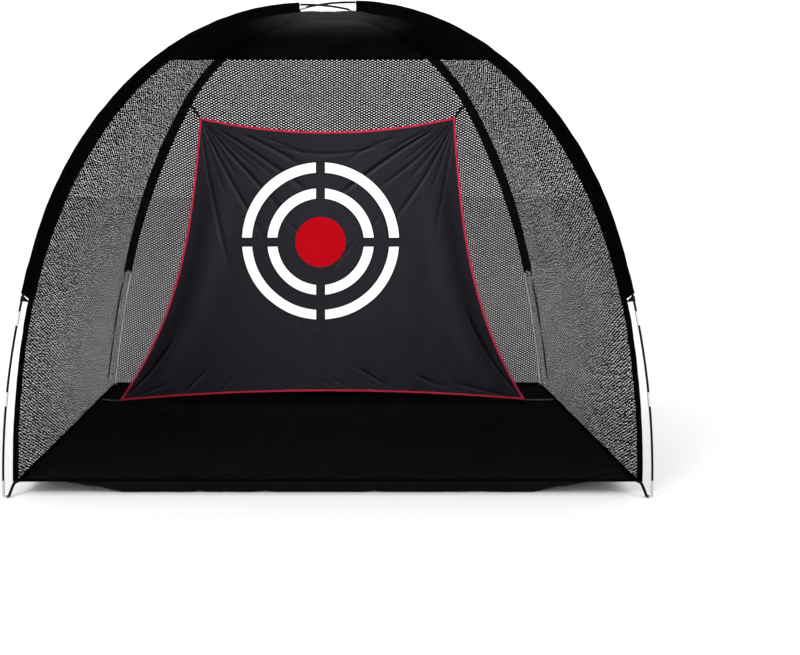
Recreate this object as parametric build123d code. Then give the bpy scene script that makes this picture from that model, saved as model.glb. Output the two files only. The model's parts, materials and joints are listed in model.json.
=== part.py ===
from build123d import *
import os
from collections import namedtuple
from math import acos, asin, cos, degrees, hypot, radians, sin

# Golf chipping net. Two shock-corded poles cross over a square of four feet and hold up a
# cloth cap, three net walls, a floor tray and a target sheet hung inside on four ties.
# Millimetres, +Z up, +Y towards the back wall. The origin is on the ground, midway between
# the four feet. A tilt is an angle from straight up, in degrees.

# Overall size
FEET_ACROSS = 2740.0
FEET_DEEP = 1830.0
LOWER_CROSSING_Z = 2132.0
CROSSING_GAP = 10.5

# Pole curve: tilt at the foot, at the end of the leg, at the end of the shoulder, at the top
FRONT_TILTS = (1.6, 20.0, 45.0, 90.0)
REAR_TILTS = (10.6, 21.9, 39.0, 90.0)
FRONT_LEG_RADIUS = 3500.0
REAR_LEG_RADIUS = 5400.0

# Poles, ferrules and shock cord
POLE_OD = 9.5
POLE_BORE = 6.5
SECTIONS = 17
FIRST_JOINT = 430.0
LAST_JOINT = 385.0
SECTION_GAP = 0.4
FERRULE_OD = 11.4
FERRULE_LENGTH = 60.0
FIT_GAP = 0.05
SHOCK_CORD_OD = 2.5
SHOCK_CORD_INSET = 90.0

# Feet: a metal tip on the pole's end, a pin in the tip and a ring in the pin's eye
TIP_BOTTOM = 20.0
TIP_LENGTH = 60.0
TIP_SOCKET = 15.0
SOCKET_GAP = 0.3
SOCKET_END_GAP = 1.0
PIN_BORE_DEPTH = 42.0
PIN_SHANK = 38.0
PIN_COLLAR = 2.5
PIN_EYE_Z = 12.5
PIN_EYE_HOLE = 4.0
PIN_LUG_WIDTH = 9.0
PIN_LUG_THICK = 4.0
RING_RADIUS = 8.0
RING_WIRE = 2.4
RING_DROOP = 20.0
STRAP_CLEARANCE = 0.6
STRAP_TUCK = 3.0

# Cloth, webbing and net
CLOTH = 2.4
SEAM_OFFSET = 50.0
SLEEVE_FLAT = 30.0
SLEEVE_WALL = 1.0
SLEEVE_HALF = 8.2
SLEEVE_TAIL = 2.0
SLEEVE_TAIL_INNER = 0.8
SLEEVE_END_HEIGHT_FRONT = 864.0
SLEEVE_END_HEIGHT_REAR = 790.0
SLEEVE_STOP_BEFORE_CROSSING = 165.0
BAND_OUTER_OFFSET = 28.0
BAND_GAP = 1.0
CLIP_DROP = 10.0
CLIP_LENGTH = 22.0
CLIP_OD = 13.5
CLIP_TAB = 3.0
CLIP_TAB_ROOT = 1.0
CLIP_TAB_FROM = 0.70
CLIP_TAB_TO = 0.95
WEBBING_WIDTH = 12.0
WEBBING_THICK = 1.6

# Cap and floor tray
CAP_EDGE_FRONT = 1845.0
CAP_EDGE_REAR = 1930.0
CROWN_CUT = 45.0
CROWN_PATCH = (150.0, 104.0, 3.0)
RIM_HEIGHT = 60.0
TRAY_GROUND_X = 2380.0
TRAY_GROUND_Y = 1640.0
TRAY_CLOTH = 2.0
TRAY_WALL = 3.0
BINDING_HEIGHT = 10.0
BINDING_THICK = 4.0
BINDING_END_GAP = 24.0

# Target sheet, in its own hanging plane: x across, v up from the ground
HINGE_Z = 1705.0
HOOK_OFFSET = 74.0
LOOP_ROOT_OFFSET = 58.0
LOWER_TIE_Y = 462.0
LOWER_TIE_Z = 62.0
LOWER_HOOK_X = 1290.0
LOWER_LOOP_LENGTH = 18.0
SHEET_CORNERS = {
    "upper_left": (-689.0, 1630.0),
    "upper_right": (685.0, 1632.0),
    "lower_right": (1126.0, 60.0),
    "lower_left": (-1190.0, 54.0),
}
SHEET_TOP_SAG = 75.0
SHEET_BOTTOM_RISE = 53.0
SHEET_LEFT_WAIST = 123.0
SHEET_RIGHT_WAIST = 110.0
SHEET_THICK = 3.0
PIPING_WIDTH = 8.0
PIPING_THICK = 5.0
TAB_LENGTH = 24.0
TAB_WIDTH = 16.0
TAB_GAP = 1.0
TIE_OD = 4.0
TIE_GAP = 0.5

HALF_SPAN = hypot(FEET_ACROSS / 2, FEET_DEEP / 2)
UP = Vector(0, 0, 1)

Arc = namedtuple("Arc", "radius first last centre_q centre_z")


def half_pole(tilts, leg_radius, crossing_z):
    """Arcs of one half of a pole, foot to crossing, as distance r from the foot and height z.

    The leg's radius is given. The shoulder's and the bow's follow from the crossing's place."""
    foot, leg, shoulder, top = [radians(tilt) for tilt in tilts]
    r_left = HALF_SPAN - leg_radius * (cos(foot) - cos(leg))
    z_left = crossing_z - leg_radius * (sin(leg) - sin(foot))
    shoulder_r = cos(leg) - cos(shoulder)
    shoulder_z = sin(shoulder) - sin(leg)
    bow_r = cos(shoulder) - cos(top)
    bow_z = sin(top) - sin(shoulder)
    scale = shoulder_r * bow_z - bow_r * shoulder_z
    shoulder_radius = (r_left * bow_z - bow_r * z_left) / scale
    bow_radius = (shoulder_r * z_left - r_left * shoulder_z) / scale
    arcs = []
    r, z = 0.0, 0.0
    for radius, first, last in zip((leg_radius, shoulder_radius, bow_radius), tilts, tilts[1:]):
        centre_r = r + radius * cos(radians(first))
        centre_z = z - radius * sin(radians(first))
        arcs.append(Arc(radius, first, last, centre_r, centre_z))
        r = centre_r - radius * cos(radians(last))
        z = centre_z + radius * sin(radians(last))
    return arcs


class Pole:
    """A whole pole in its upright plane: q runs from the front foot to the rear foot."""

    def __init__(self, side, crossing_z):
        front = half_pole(FRONT_TILTS, FRONT_LEG_RADIUS, crossing_z)
        rear = half_pole(REAR_TILTS, REAR_LEG_RADIUS, crossing_z)
        along = Vector(-side * FEET_ACROSS / 2, FEET_DEEP / 2, 0).normalized()
        self.plane = Plane(origin=(0, 0, 0), x_dir=along, z_dir=along.cross(UP))
        self.front = [arc._replace(centre_q=arc.centre_q - HALF_SPAN) for arc in front]
        self.rear = [
            Arc(arc.radius, 180 - arc.last, 180 - arc.first, HALF_SPAN - arc.centre_q, arc.centre_z)
            for arc in reversed(rear)
        ]
        self.arcs = self.front + self.rear
        self.length = sum(arc.radius * radians(arc.last - arc.first) for arc in self.arcs)

    def place(self, q, z):
        return self.plane.from_local_coords(Vector(q, z, 0))

    def direction(self, q, z):
        return self.plane.x_dir * q + UP * z

    def on_arc(self, arc, tilt, inward=0.0):
        reach = arc.radius - inward
        return self.place(
            arc.centre_q - reach * cos(radians(tilt)), arc.centre_z + reach * sin(radians(tilt))
        )

    def arc_at(self, tilt):
        return next(arc for arc in self.arcs if tilt <= arc.last + 1e-9)

    def tilt_at(self, distance):
        """Tilt at a distance along the pole from its front foot."""
        for arc in self.arcs:
            arc_length = arc.radius * radians(arc.last - arc.first)
            if distance <= arc_length:
                return arc.first + degrees(distance / arc.radius)
            distance -= arc_length
        return self.arcs[-1].last

    def sweep(self, section, first, last):
        """A section swept along the pole between two tilts."""
        body = None
        for arc in self.arcs:
            start = max(first, arc.first)
            stop = min(last, arc.last)
            if stop - start < 1e-6:
                continue
            t = radians(start)
            plane = Plane(
                origin=self.on_arc(arc, start),
                x_dir=self.direction(cos(t), -sin(t)),
                z_dir=self.direction(sin(t), cos(t)),
            )
            axis = Axis(self.place(arc.centre_q, arc.centre_z), self.plane.z_dir * -1)
            piece = revolve(plane * section, axis=axis, revolution_arc=stop - start)
            body = piece if body is None else body + piece
        return body

    def sweep_between(self, section, start, stop):
        """A section swept between two distances along the pole."""
        return self.sweep(section, self.tilt_at(start), self.tilt_at(stop))

    def tilt_at_height(self, end, height, inward=0.0):
        """Tilt where the line parallel to the pole, inward of it, has this height."""
        arcs = self.front if end == "front" else self.rear
        for arc in arcs:
            reach = arc.radius - inward
            sine = (height - arc.centre_z) / reach
            if not -1 <= sine <= 1:
                continue
            tilt = degrees(asin(sine)) if end == "front" else 180 - degrees(asin(sine))
            if arc.first - 1e-6 <= tilt <= arc.last + 1e-6:
                return tilt
        raise ValueError(f"no point at height {height}")

    def crown_tilt(self, end, from_crossing, inward=0.0):
        """Tilt where a parallel line is this far, level, from the crossing."""
        arc = self.front[-1] if end == "front" else self.rear[0]
        lean = degrees(acos(from_crossing / (arc.radius - inward)))
        return lean if end == "front" else 180 - lean

    def edge_run(self, end, inward, low, high):
        """Arcs of a line parallel to the pole, from one tilt up to another, foot first."""
        first, last = sorted((low, high))
        edges = []
        for arc in self.front if end == "front" else self.rear:
            start = max(first, arc.first)
            stop = min(last, arc.last)
            if stop - start < 1e-6:
                continue
            tilts = [start, (start + stop) / 2, stop]
            if end == "rear":
                tilts.reverse()
            edges.append(ThreePointArc(*[self.on_arc(arc, t, inward) for t in tilts]).edge())
        if end == "rear":
            edges.reverse()
        return edges

    def strip(self, end, low_height, high_height=None):
        """Outline of a strip of cloth in the pole's plane, inside the seam line.

        The strip ends level with the crown's cut where no upper height is given."""
        edges = []
        ends = []
        for inward in (SEAM_OFFSET, SEAM_OFFSET + CLOTH):
            low = self.tilt_at_height(end, low_height, inward)
            if high_height is None:
                high = self.crown_tilt(end, CROWN_CUT, inward)
            else:
                high = self.tilt_at_height(end, high_height, inward)
            edges += self.edge_run(end, inward, low, high)
            ends.append([self.on_arc(self.arc_at(t), t, inward) for t in (low, high)])
        edges += [Line(outer, inner).edge() for outer, inner in zip(*ends)]
        return edges


def ruled_panel(outline_a, outline_b):
    """A cloth panel stretched straight between two strips."""
    faces = [Face.make_surface_from_curves(a, b) for a, b in zip(outline_a, outline_b)]
    faces += [Face(Wire(outline)) for outline in (outline_a, outline_b)]
    return Solid(Shell(faces))


def bar(start, stop, width, thick, across):
    """A flat strap between two points; across is the direction of its width."""
    start, stop = Vector(start), Vector(stop)
    run = stop - start
    plane = Plane(origin=(start + stop) * 0.5, x_dir=Vector(across), z_dir=run)
    return plane * Box(width, thick, run.length)


def rod(start, stop, diameter):
    """A round cord pulled straight between two points."""
    start, stop = Vector(start), Vector(stop)
    run = stop - start
    return Plane(origin=(start + stop) * 0.5, z_dir=run) * Cylinder(diameter / 2, run.length)


def tube(outer, bore):
    return Circle(outer / 2) - Circle(bore / 2)


def save(shape, name):
    shape.label = name
    export_step(shape, f"parts/{name}.step")


os.makedirs("parts", exist_ok=True)

LOWER_POLE = Pole(-1, LOWER_CROSSING_Z)
UPPER_POLE = Pole(1, LOWER_CROSSING_Z + CROSSING_GAP)
POLES = {"lower": LOWER_POLE, "upper": UPPER_POLE}
CORNERS = {
    "front_left": (LOWER_POLE, "front"),
    "front_right": (UPPER_POLE, "front"),
    "rear_left": (UPPER_POLE, "rear"),
    "rear_right": (LOWER_POLE, "rear"),
}


# ---- poles ----

def pole_joints(pole):
    """Distances along the pole of the joints between its sections."""
    pitch = (pole.length - FIRST_JOINT - LAST_JOINT) / (SECTIONS - 2)
    return [FIRST_JOINT + k * pitch for k in range(SECTIONS - 1)]


def make_sections(pole):
    """Hollow fibreglass sections, front foot to rear foot."""
    end = TIP_BOTTOM + TIP_LENGTH - TIP_SOCKET + SOCKET_END_GAP
    stops = [end] + pole_joints(pole) + [pole.length - end]
    section = tube(POLE_OD, POLE_BORE)
    return [
        pole.sweep_between(section, a + SECTION_GAP / 2, b - SECTION_GAP / 2)
        for a, b in zip(stops, stops[1:])
    ]


def make_ferrules(pole):
    """Metal sleeves that join one section to the next."""
    section = tube(FERRULE_OD, POLE_OD + 2 * FIT_GAP)
    half = FERRULE_LENGTH / 2
    return [pole.sweep_between(section, at - half, at + half) for at in pole_joints(pole)]


def build_poles():
    middle = SECTIONS // 2
    for name, pole in POLES.items():
        sections = make_sections(pole)
        save(Compound(children=sections[:middle]), f"{name}_pole_front_sections")
        save(sections[middle], f"{name}_pole_crown_section")
        save(Compound(children=sections[middle + 1:]), f"{name}_pole_rear_sections")
        ferrules = make_ferrules(pole)
        save(Compound(children=ferrules[:middle]), f"{name}_pole_front_ferrules")
        save(Compound(children=ferrules[middle:]), f"{name}_pole_rear_ferrules")
        cord = pole.sweep_between(
            Circle(SHOCK_CORD_OD / 2), SHOCK_CORD_INSET, pole.length - SHOCK_CORD_INSET
        )
        save(cord, f"{name}_pole_shock_cord")


# ---- feet ----

def foot_plane(pole, end):
    """Plane at a foot: x inward, z up along the leg, straight through the metal tip."""
    middle = TIP_BOTTOM + TIP_LENGTH / 2
    tilt = pole.tilt_at(middle if end == "front" else pole.length - middle)
    t = radians(tilt)
    up = pole.direction(sin(t), cos(t)) * (1 if end == "front" else -1)
    origin = pole.on_arc(pole.arc_at(tilt), tilt) - up * middle
    return Plane(origin=origin, x_dir=pole.direction(cos(t), -sin(t)), z_dir=up)


def make_tip():
    """Metal tip: a blind bore below for the pin, a socket above for the pole's end."""
    body = Pos(Z=TIP_BOTTOM + TIP_LENGTH / 2) * Cylinder(FERRULE_OD / 2, TIP_LENGTH)
    bore = Pos(Z=TIP_BOTTOM + PIN_BORE_DEPTH / 2) * Cylinder(POLE_BORE / 2, PIN_BORE_DEPTH)
    socket = Pos(Z=TIP_BOTTOM + TIP_LENGTH - TIP_SOCKET / 2) * Cylinder(
        POLE_OD / 2 + SOCKET_GAP, TIP_SOCKET
    )
    return body - bore - socket


def make_pin():
    """Pin with a collar under the tip and a flat eye below it."""
    shank = Pos(Z=TIP_BOTTOM + PIN_SHANK / 2) * Cylinder(POLE_BORE / 2 - FIT_GAP, PIN_SHANK)
    collar = Pos(Z=TIP_BOTTOM - PIN_COLLAR / 2) * Cylinder(FERRULE_OD / 2, PIN_COLLAR)
    lug_top = TIP_BOTTOM - PIN_COLLAR
    lug_height = lug_top - PIN_EYE_Z
    lug = Pos(Z=PIN_EYE_Z + lug_height / 2) * Box(PIN_LUG_WIDTH, PIN_LUG_THICK, lug_height)
    across = Rot(X=90)
    nose = Pos(Z=PIN_EYE_Z) * across * Cylinder(PIN_LUG_WIDTH / 2, PIN_LUG_THICK)
    hole = Pos(Z=PIN_EYE_Z) * across * Cylinder(PIN_EYE_HOLE / 2, 2 * PIN_LUG_THICK)
    return shank + collar + lug + nose - hole


def make_ring():
    """Ring through the pin's eye, drawn inward by the net's corner webbing."""
    droop = radians(RING_DROOP)
    centre = (RING_RADIUS * cos(droop), 0, PIN_EYE_Z - RING_RADIUS * sin(droop))
    return Pos(*centre) * Rot(Y=RING_DROOP) * Torus(RING_RADIUS, RING_WIRE / 2)


def ring_far_side():
    droop = radians(RING_DROOP)
    return Vector(2 * RING_RADIUS * cos(droop), 0, PIN_EYE_Z - 2 * RING_RADIUS * sin(droop))


def build_feet():
    for corner, (pole, end) in CORNERS.items():
        plane = foot_plane(pole, end)
        save(plane * make_tip(), f"pole_tip_{corner}")
        save(plane * make_pin(), f"foot_pin_{corner}")
        save(plane * make_ring(), f"foot_ring_{corner}")
        ring_end = plane.from_local_coords(ring_far_side())
        rim = pole.tilt_at_height(end, RIM_HEIGHT, SEAM_OFFSET)
        net_corner = pole.on_arc(pole.arc_at(rim), rim, SEAM_OFFSET)
        pull = (net_corner - ring_end).normalized()
        first = ring_end + pull * (RING_WIRE / 2 + STRAP_CLEARANCE)
        last = net_corner - pull * STRAP_TUCK
        strap = bar(first, last, WEBBING_WIDTH, WEBBING_THICK, plane.y_dir)
        save(strap, f"corner_webbing_{corner}")


# ---- sleeves and net edges ----

def drop(half, inner_end, tail):
    """Drop-shaped outline: round at the pole, narrowing to a tail at the seam."""
    flank = Polygon(
        (0, half), (inner_end, tail), (inner_end, -tail), (0, -half), align=None
    )
    return Circle(half) + flank


def sleeve_section():
    """Cloth folded round the pole, sewn shut, with a web on to the seam line."""
    outer = drop(SLEEVE_HALF, SLEEVE_FLAT, SLEEVE_TAIL)
    inner = drop(SLEEVE_HALF - SLEEVE_WALL, SLEEVE_FLAT - SLEEVE_TAIL, SLEEVE_TAIL_INNER)
    web = Pos(X=(SLEEVE_FLAT + SEAM_OFFSET) / 2) * Rectangle(SEAM_OFFSET - SLEEVE_FLAT, CLOTH)
    return (outer + web) - inner


def make_clip(pole, sleeve_tilt, down):
    """Plastic collar on the pole with a tapering tab that is sewn to the net's edge band."""
    arc = pole.arc_at(sleeve_tilt)
    top = sleeve_tilt + down * degrees(CLIP_DROP / arc.radius)
    bottom = top + down * degrees(CLIP_LENGTH / arc.radius)
    collar = pole.sweep(tube(CLIP_OD, POLE_OD + 2 * FIT_GAP), *sorted((top, bottom)))
    root = CLIP_OD / 2 - CLIP_TAB_ROOT
    outline = [(0, root), (CLIP_TAB_FROM, BAND_OUTER_OFFSET), (CLIP_TAB_TO, BAND_OUTER_OFFSET), (1, root)]
    points = [pole.on_arc(arc, top + (bottom - top) * share, inward) for share, inward in outline]
    tab = make_face(Polyline(*points, close=True))
    return collar + extrude(tab, CLIP_TAB / 2, dir=pole.plane.z_dir, both=True)


def build_sleeves():
    band_width = SEAM_OFFSET - BAND_OUTER_OFFSET
    band = Pos(X=BAND_OUTER_OFFSET + band_width / 2) * Rectangle(band_width, CLOTH)
    for corner, (pole, end) in CORNERS.items():
        sleeve_end = SLEEVE_END_HEIGHT_FRONT if end == "front" else SLEEVE_END_HEIGHT_REAR
        low = pole.tilt_at_height(end, sleeve_end)
        crown = pole.crown_tilt(end, SLEEVE_STOP_BEFORE_CROSSING)
        foot = pole.tilt_at_height(end, RIM_HEIGHT + BINDING_HEIGHT)
        down = -1 if end == "front" else 1
        gap = down * degrees(BAND_GAP / pole.arc_at(low).radius)
        save(pole.sweep(sleeve_section(), *sorted((low, crown))), f"pole_sleeve_{corner}")
        save(pole.sweep(band, *sorted((foot, low + gap))), f"edge_band_{corner}")
        save(make_clip(pole, low, down), f"pole_clip_{corner}")


# ---- nets, cap and floor ----

def panel_between(corner_a, corner_b, low, high):
    """Panel between the seam lines of two corners; low and high give each corner's heights."""
    outlines = []
    for corner in (corner_a, corner_b):
        pole, end = CORNERS[corner]
        outlines.append(pole.strip(end, low[end], high[end]))
    return ruled_panel(*outlines)


def build_nets_and_cap():
    rim = {"front": RIM_HEIGHT, "rear": RIM_HEIGHT}
    cap_edge = {"front": CAP_EDGE_FRONT, "rear": CAP_EDGE_REAR}
    crown = {"front": None, "rear": None}
    walls = {
        "left": ("front_left", "rear_left"),
        "back": ("rear_left", "rear_right"),
        "right": ("rear_right", "front_right"),
    }
    for name, corners in walls.items():
        save(panel_between(*corners, rim, cap_edge), f"net_{name}")
        save(panel_between(*corners, cap_edge, crown), f"cap_{name}")
    patch_top = LOWER_CROSSING_Z + CROSSING_GAP - SEAM_OFFSET + CROWN_PATCH[2]
    save(Pos(Z=patch_top - CROWN_PATCH[2] / 2) * Box(*CROWN_PATCH), "crown_patch")


def rim_corner(corner):
    pole, end = CORNERS[corner]
    tilt = pole.tilt_at_height(end, RIM_HEIGHT, SEAM_OFFSET)
    return pole.on_arc(pole.arc_at(tilt), tilt, SEAM_OFFSET)


def frustum(bottom_x, bottom_y, bottom_z, top_x, front_y, back_y, top_z):
    """Solid between a rectangle on the ground and a larger one at the rim."""
    top_middle = (front_y + back_y) / 2
    low = Plane(origin=(0, 0, bottom_z)) * Rectangle(bottom_x, bottom_y)
    high = Plane(origin=(0, top_middle, top_z)) * Rectangle(top_x, back_y - front_y)
    return loft([low.face(), high.face()], ruled=True)


def build_floor():
    front = rim_corner("front_left")
    back = rim_corner("rear_left")
    rim_x = -2 * front.X
    outer = frustum(TRAY_GROUND_X, TRAY_GROUND_Y, 0, rim_x, front.Y, back.Y, RIM_HEIGHT)
    inner = frustum(
        TRAY_GROUND_X - 2 * TRAY_WALL, TRAY_GROUND_Y - 2 * TRAY_WALL, TRAY_CLOTH,
        rim_x - 2 * TRAY_WALL, front.Y + TRAY_WALL, back.Y - TRAY_WALL, RIM_HEIGHT + TRAY_CLOTH,
    )
    save(outer - inner, "floor_sheet")
    binding_y = front.Y + TRAY_WALL + BINDING_THICK / 2
    binding = Pos(0, binding_y, RIM_HEIGHT + BINDING_HEIGHT / 2) * Box(
        rim_x - 2 * BINDING_END_GAP, BINDING_THICK, BINDING_HEIGHT
    )
    save(binding, "front_edge_binding")


# ---- target ----

def rear_seam_point(side, inward):
    """Point inside a rear seam at the height of the target's hinge line."""
    pole, end = CORNERS["rear_left" if side < 0 else "rear_right"]
    tilt = pole.tilt_at_height(end, HINGE_Z, inward)
    return pole.on_arc(pole.arc_at(tilt), tilt, inward)


def target_plane():
    """Hanging plane of the target: x across, y up, z towards the front."""
    hinge_y = rear_seam_point(1, HOOK_OFFSET).Y
    run = Vector(0, hinge_y - LOWER_TIE_Y, HINGE_Z - LOWER_TIE_Z).normalized()
    ground = Vector(0, LOWER_TIE_Y, LOWER_TIE_Z) - run * (LOWER_TIE_Z / run.Z)
    return Plane(origin=ground, x_dir=(1, 0, 0), z_dir=Vector(1, 0, 0).cross(run))


def sheet_face():
    """Sheet with four hollow edges, pulled out at its corners."""
    ul, ur, lr, ll = [SHEET_CORNERS[k] for k in ("upper_left", "upper_right", "lower_right", "lower_left")]
    top = ((ul[0] + ur[0]) / 2, (ul[1] + ur[1]) / 2 - SHEET_TOP_SAG)
    right = ((ur[0] + lr[0]) / 2 - SHEET_RIGHT_WAIST, (ur[1] + lr[1]) / 2)
    bottom = ((lr[0] + ll[0]) / 2, (lr[1] + ll[1]) / 2 + SHEET_BOTTOM_RISE)
    left = ((ul[0] + ll[0]) / 2 + SHEET_LEFT_WAIST, (ul[1] + ll[1]) / 2)
    edges = [
        ThreePointArc(ul, top, ur),
        ThreePointArc(ur, right, lr),
        ThreePointArc(lr, bottom, ll),
        ThreePointArc(ll, left, ul),
    ]
    return make_face(edges)


def tie_line(corner, plane):
    """Corner of the sheet, and the point that its tie is fixed to, in space."""
    side = -1 if corner.endswith("left") else 1
    start = plane.from_local_coords(Vector(*SHEET_CORNERS[corner], 0))
    if corner.startswith("upper"):
        return start, rear_seam_point(side, HOOK_OFFSET)
    return start, Vector(side * LOWER_HOOK_X, LOWER_TIE_Y, LOWER_TIE_Z)


def make_tab(start, pull, plane):
    """Webbing tab on a corner of the sheet, with an eye for the tie."""
    first = start + pull * (PIPING_WIDTH + TAB_GAP)
    last = first + pull * TAB_LENGTH
    tab = bar(first, last, TAB_WIDTH, SHEET_THICK, pull.cross(plane.z_dir))
    eye = Plane(origin=last - pull * TAB_WIDTH / 2, z_dir=plane.z_dir) * Cylinder(TIE_OD, 4 * SHEET_THICK)
    return tab - eye, last


def build_target():
    plane = target_plane()
    sheet = sheet_face()
    save(plane * extrude(sheet, SHEET_THICK / 2, both=True), "target_sheet")
    edge = offset(sheet, PIPING_WIDTH, kind=Kind.ARC) - sheet
    save(plane * extrude(edge, PIPING_THICK / 2, both=True), "target_piping")
    tabs = []
    for corner in SHEET_CORNERS:
        start, loop = tie_line(corner, plane)
        pull = (loop - start).normalized()
        tab, tab_end = make_tab(start, pull, plane)
        tabs.append(tab)
        tie = rod(tab_end + pull * TIE_GAP, loop - pull * TIE_GAP, TIE_OD)
        save(tie, f"tie_{corner}")
    save(Compound(children=tabs), "target_corner_tabs")
    build_tie_loops()


def build_tie_loops():
    """Webbing loops on the rear seams and on the floor's side edges, which hold the ties."""
    upper = []
    lower = []
    for side in (-1, 1):
        root = rear_seam_point(side, LOOP_ROOT_OFFSET)
        hook = rear_seam_point(side, HOOK_OFFSET - TIE_OD)
        upper.append(bar(root, hook, WEBBING_WIDTH, WEBBING_THICK, UP))
        hook = Vector(side * LOWER_HOOK_X, LOWER_TIE_Y, LOWER_TIE_Z)
        root = hook + Vector(side * LOWER_LOOP_LENGTH, 0, 0)
        lower.append(bar(root, hook, WEBBING_WIDTH, WEBBING_THICK, (0, 1, 0)))
    save(Compound(children=upper), "upper_tie_loops")
    save(Compound(children=lower), "lower_tie_loops")


build_poles()
build_feet()
build_sleeves()
build_nets_and_cap()
build_floor()
build_target()
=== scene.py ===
"""Looks of the golf chipping net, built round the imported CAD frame. Metres."""

import json
import math
from collections import namedtuple

import bpy
import numpy as np
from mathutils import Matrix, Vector


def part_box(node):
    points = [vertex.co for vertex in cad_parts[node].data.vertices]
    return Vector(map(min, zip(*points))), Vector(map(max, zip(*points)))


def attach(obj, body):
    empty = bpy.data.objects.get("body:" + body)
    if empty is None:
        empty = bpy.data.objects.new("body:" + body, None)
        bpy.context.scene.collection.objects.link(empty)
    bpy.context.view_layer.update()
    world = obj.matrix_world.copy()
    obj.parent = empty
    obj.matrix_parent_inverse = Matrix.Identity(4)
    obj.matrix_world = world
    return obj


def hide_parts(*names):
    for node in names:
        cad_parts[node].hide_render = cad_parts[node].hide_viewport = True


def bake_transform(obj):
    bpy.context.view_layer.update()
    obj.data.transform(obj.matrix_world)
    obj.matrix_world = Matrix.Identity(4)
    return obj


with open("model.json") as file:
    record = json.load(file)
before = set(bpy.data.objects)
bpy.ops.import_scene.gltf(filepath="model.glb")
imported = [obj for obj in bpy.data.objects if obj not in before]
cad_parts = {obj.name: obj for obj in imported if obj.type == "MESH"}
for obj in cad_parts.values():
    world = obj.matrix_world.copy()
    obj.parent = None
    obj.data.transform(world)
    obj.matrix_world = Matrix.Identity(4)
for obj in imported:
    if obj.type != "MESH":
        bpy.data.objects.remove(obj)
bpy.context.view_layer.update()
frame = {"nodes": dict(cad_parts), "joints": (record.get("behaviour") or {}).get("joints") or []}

UP = np.array([0.0, 0.0, 1.0])

# Camera, from the fit to the four feet at the assumed width and depth
CAMERA_PLACE = (0.0, -4.551, 1.412)
CAMERA_TILT = math.radians(79.46)
CAMERA_LENS = 40.8
CAMERA_SHIFT = 0.0903
WORLD_LIGHT = 1.25

# Pole curve, as the CAD model has it: tilts in degrees from straight up
FEET_ACROSS = 2.740
FEET_DEEP = 1.830
LOWER_CROSSING_Z = 2.132
CROSSING_GAP = 0.0105
FRONT_TILTS = (1.6, 20.0, 45.0, 90.0)
REAR_TILTS = (10.6, 21.9, 39.0, 90.0)
FRONT_LEG_RADIUS = 3.500
REAR_LEG_RADIUS = 5.400

# Sleeves and seams, as distances inward from the pole. The web between sleeve and seam is
# widest on the legs and narrowest at the crown.
SEAM_OFFSET = 0.050
SEAM_HEIGHTS = (0.00, 0.20, 0.40, 0.62, 0.80, 1.00, 1.20, 1.45, 1.70, 1.80, 1.90, 2.10, 2.12, 2.13)
SEAM_OFFSETS = (
    0.066, 0.061, 0.058, 0.053, 0.049, 0.048, 0.053, 0.053, 0.046, 0.042, 0.040, 0.036, 0.034, 0.028,
)
CROWN_LEVELS_FROM = 1.95
CROWN_LEVELS_OVER = 0.17
SLEEVE_HALF = 0.0082
SLEEVE_FLAT = 0.030
BAND_STEP = 0.006
BAND_HEIGHTS = (0.00, 0.40, 0.62, 0.70, 0.76)
BAND_OUTER_OFFSETS = {
    "front": (0.042, 0.038, 0.033, 0.031, 0.028),
    "rear": (0.058, 0.050, 0.045, 0.043, 0.028),
}
SLEEVE_END = {"front": 0.864, "rear": 0.790}
SLEEVE_SLANT = 0.027
SLEEVE_STOP = 0.165
CROWN_CUT = 0.045
PATCH_RAISE = 0.002
CLOTH = 0.0012
TAPE_THICK = 0.0026
CROWN_LIGHT_FROM = 1.985
CROWN_LIGHT_OVER = 0.115
CROWN_LIGHT_REACH = 0.42
CROWN_LIGHT_RISE = 2.6

# Net walls: hexagonal holes in straight columns. The spacing is read from the back wall; the
# holes' size, taper and scatter are set to bring the walls' mean tone near the photo's
RIM_HEIGHT = {"front": 0.060, "rear": 0.043}
CAP_EDGE = {"front": 1.845, "rear": 1.930}
MESH_ACROSS = 0.01333
MESH_UP = 0.0149
HOLE_ACROSS = 0.0112
HOLE_UP = 0.0041
HOLE_SIZE = {"left": 0.88, "back": 0.92, "right": 0.88}
HOLE_TAPER = {"left": 0.12, "back": 0.0, "right": 0.12}
HOLE_JITTER = {"left": (0.0020, 0.22), "back": (0.0003, 0.05), "right": (0.0020, 0.22)}
NET_BILLOW = {"left": 0.010, "back": 0.004, "right": 0.010}

# Floor tray
TRAY_GROUND = (2.380, 1.686)
TRAY_CORNER_LIFT = (0.12, 0.50)
TRAY_LIFT = 0.0006
TRAY_STEP = 0.016

# Target sheet, in its hanging plane: x across, v up
SHEET_CORNERS = {
    "upper_left": (-0.689, 1.630),
    "upper_right": (0.685, 1.632),
    "lower_right": (1.126, 0.060),
    "lower_left": (-1.190, 0.054),
}
SHEET_TOP_SAG = 0.075
SHEET_BOTTOM_RISE = 0.053
SHEET_LEFT_WAIST = 0.123
SHEET_RIGHT_WAIST = 0.110
WAIST_LOW = 0.35
SHEET_STEPS = (205, 232)
PIPING_WIDTH = 0.0115
PIPING_THICK = 0.005

# Ties, tabs and corner straps; the CAD's sizes differ, and are the likelier ones
TIE_OD = {"upper": 0.0065, "lower": 0.0035}
UPPER_HOOK_HEIGHT = 1.697
UPPER_HOOK_INSET = 0.001
LOWER_HOOK = (1.290, 0.462, 0.062)
TAB_FROM = 0.009
TAB_TO = 0.033
TAB_WIDTH = {"upper": 0.012, "lower": 0.006}
LOOP_LENGTH = 0.018
WEBBING_WIDTH = 0.012
STRAP_WIDTH = 0.020
STRAP_ABOVE_RIM = 0.010
STRAP_INSET = 0.005
STRAP_DROP = 0.003
STRAP_RAISE = 0.004
STRAP_THICK = 0.007
RING_RADIUS = 0.008
RING_DROOP = math.radians(20)

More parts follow.
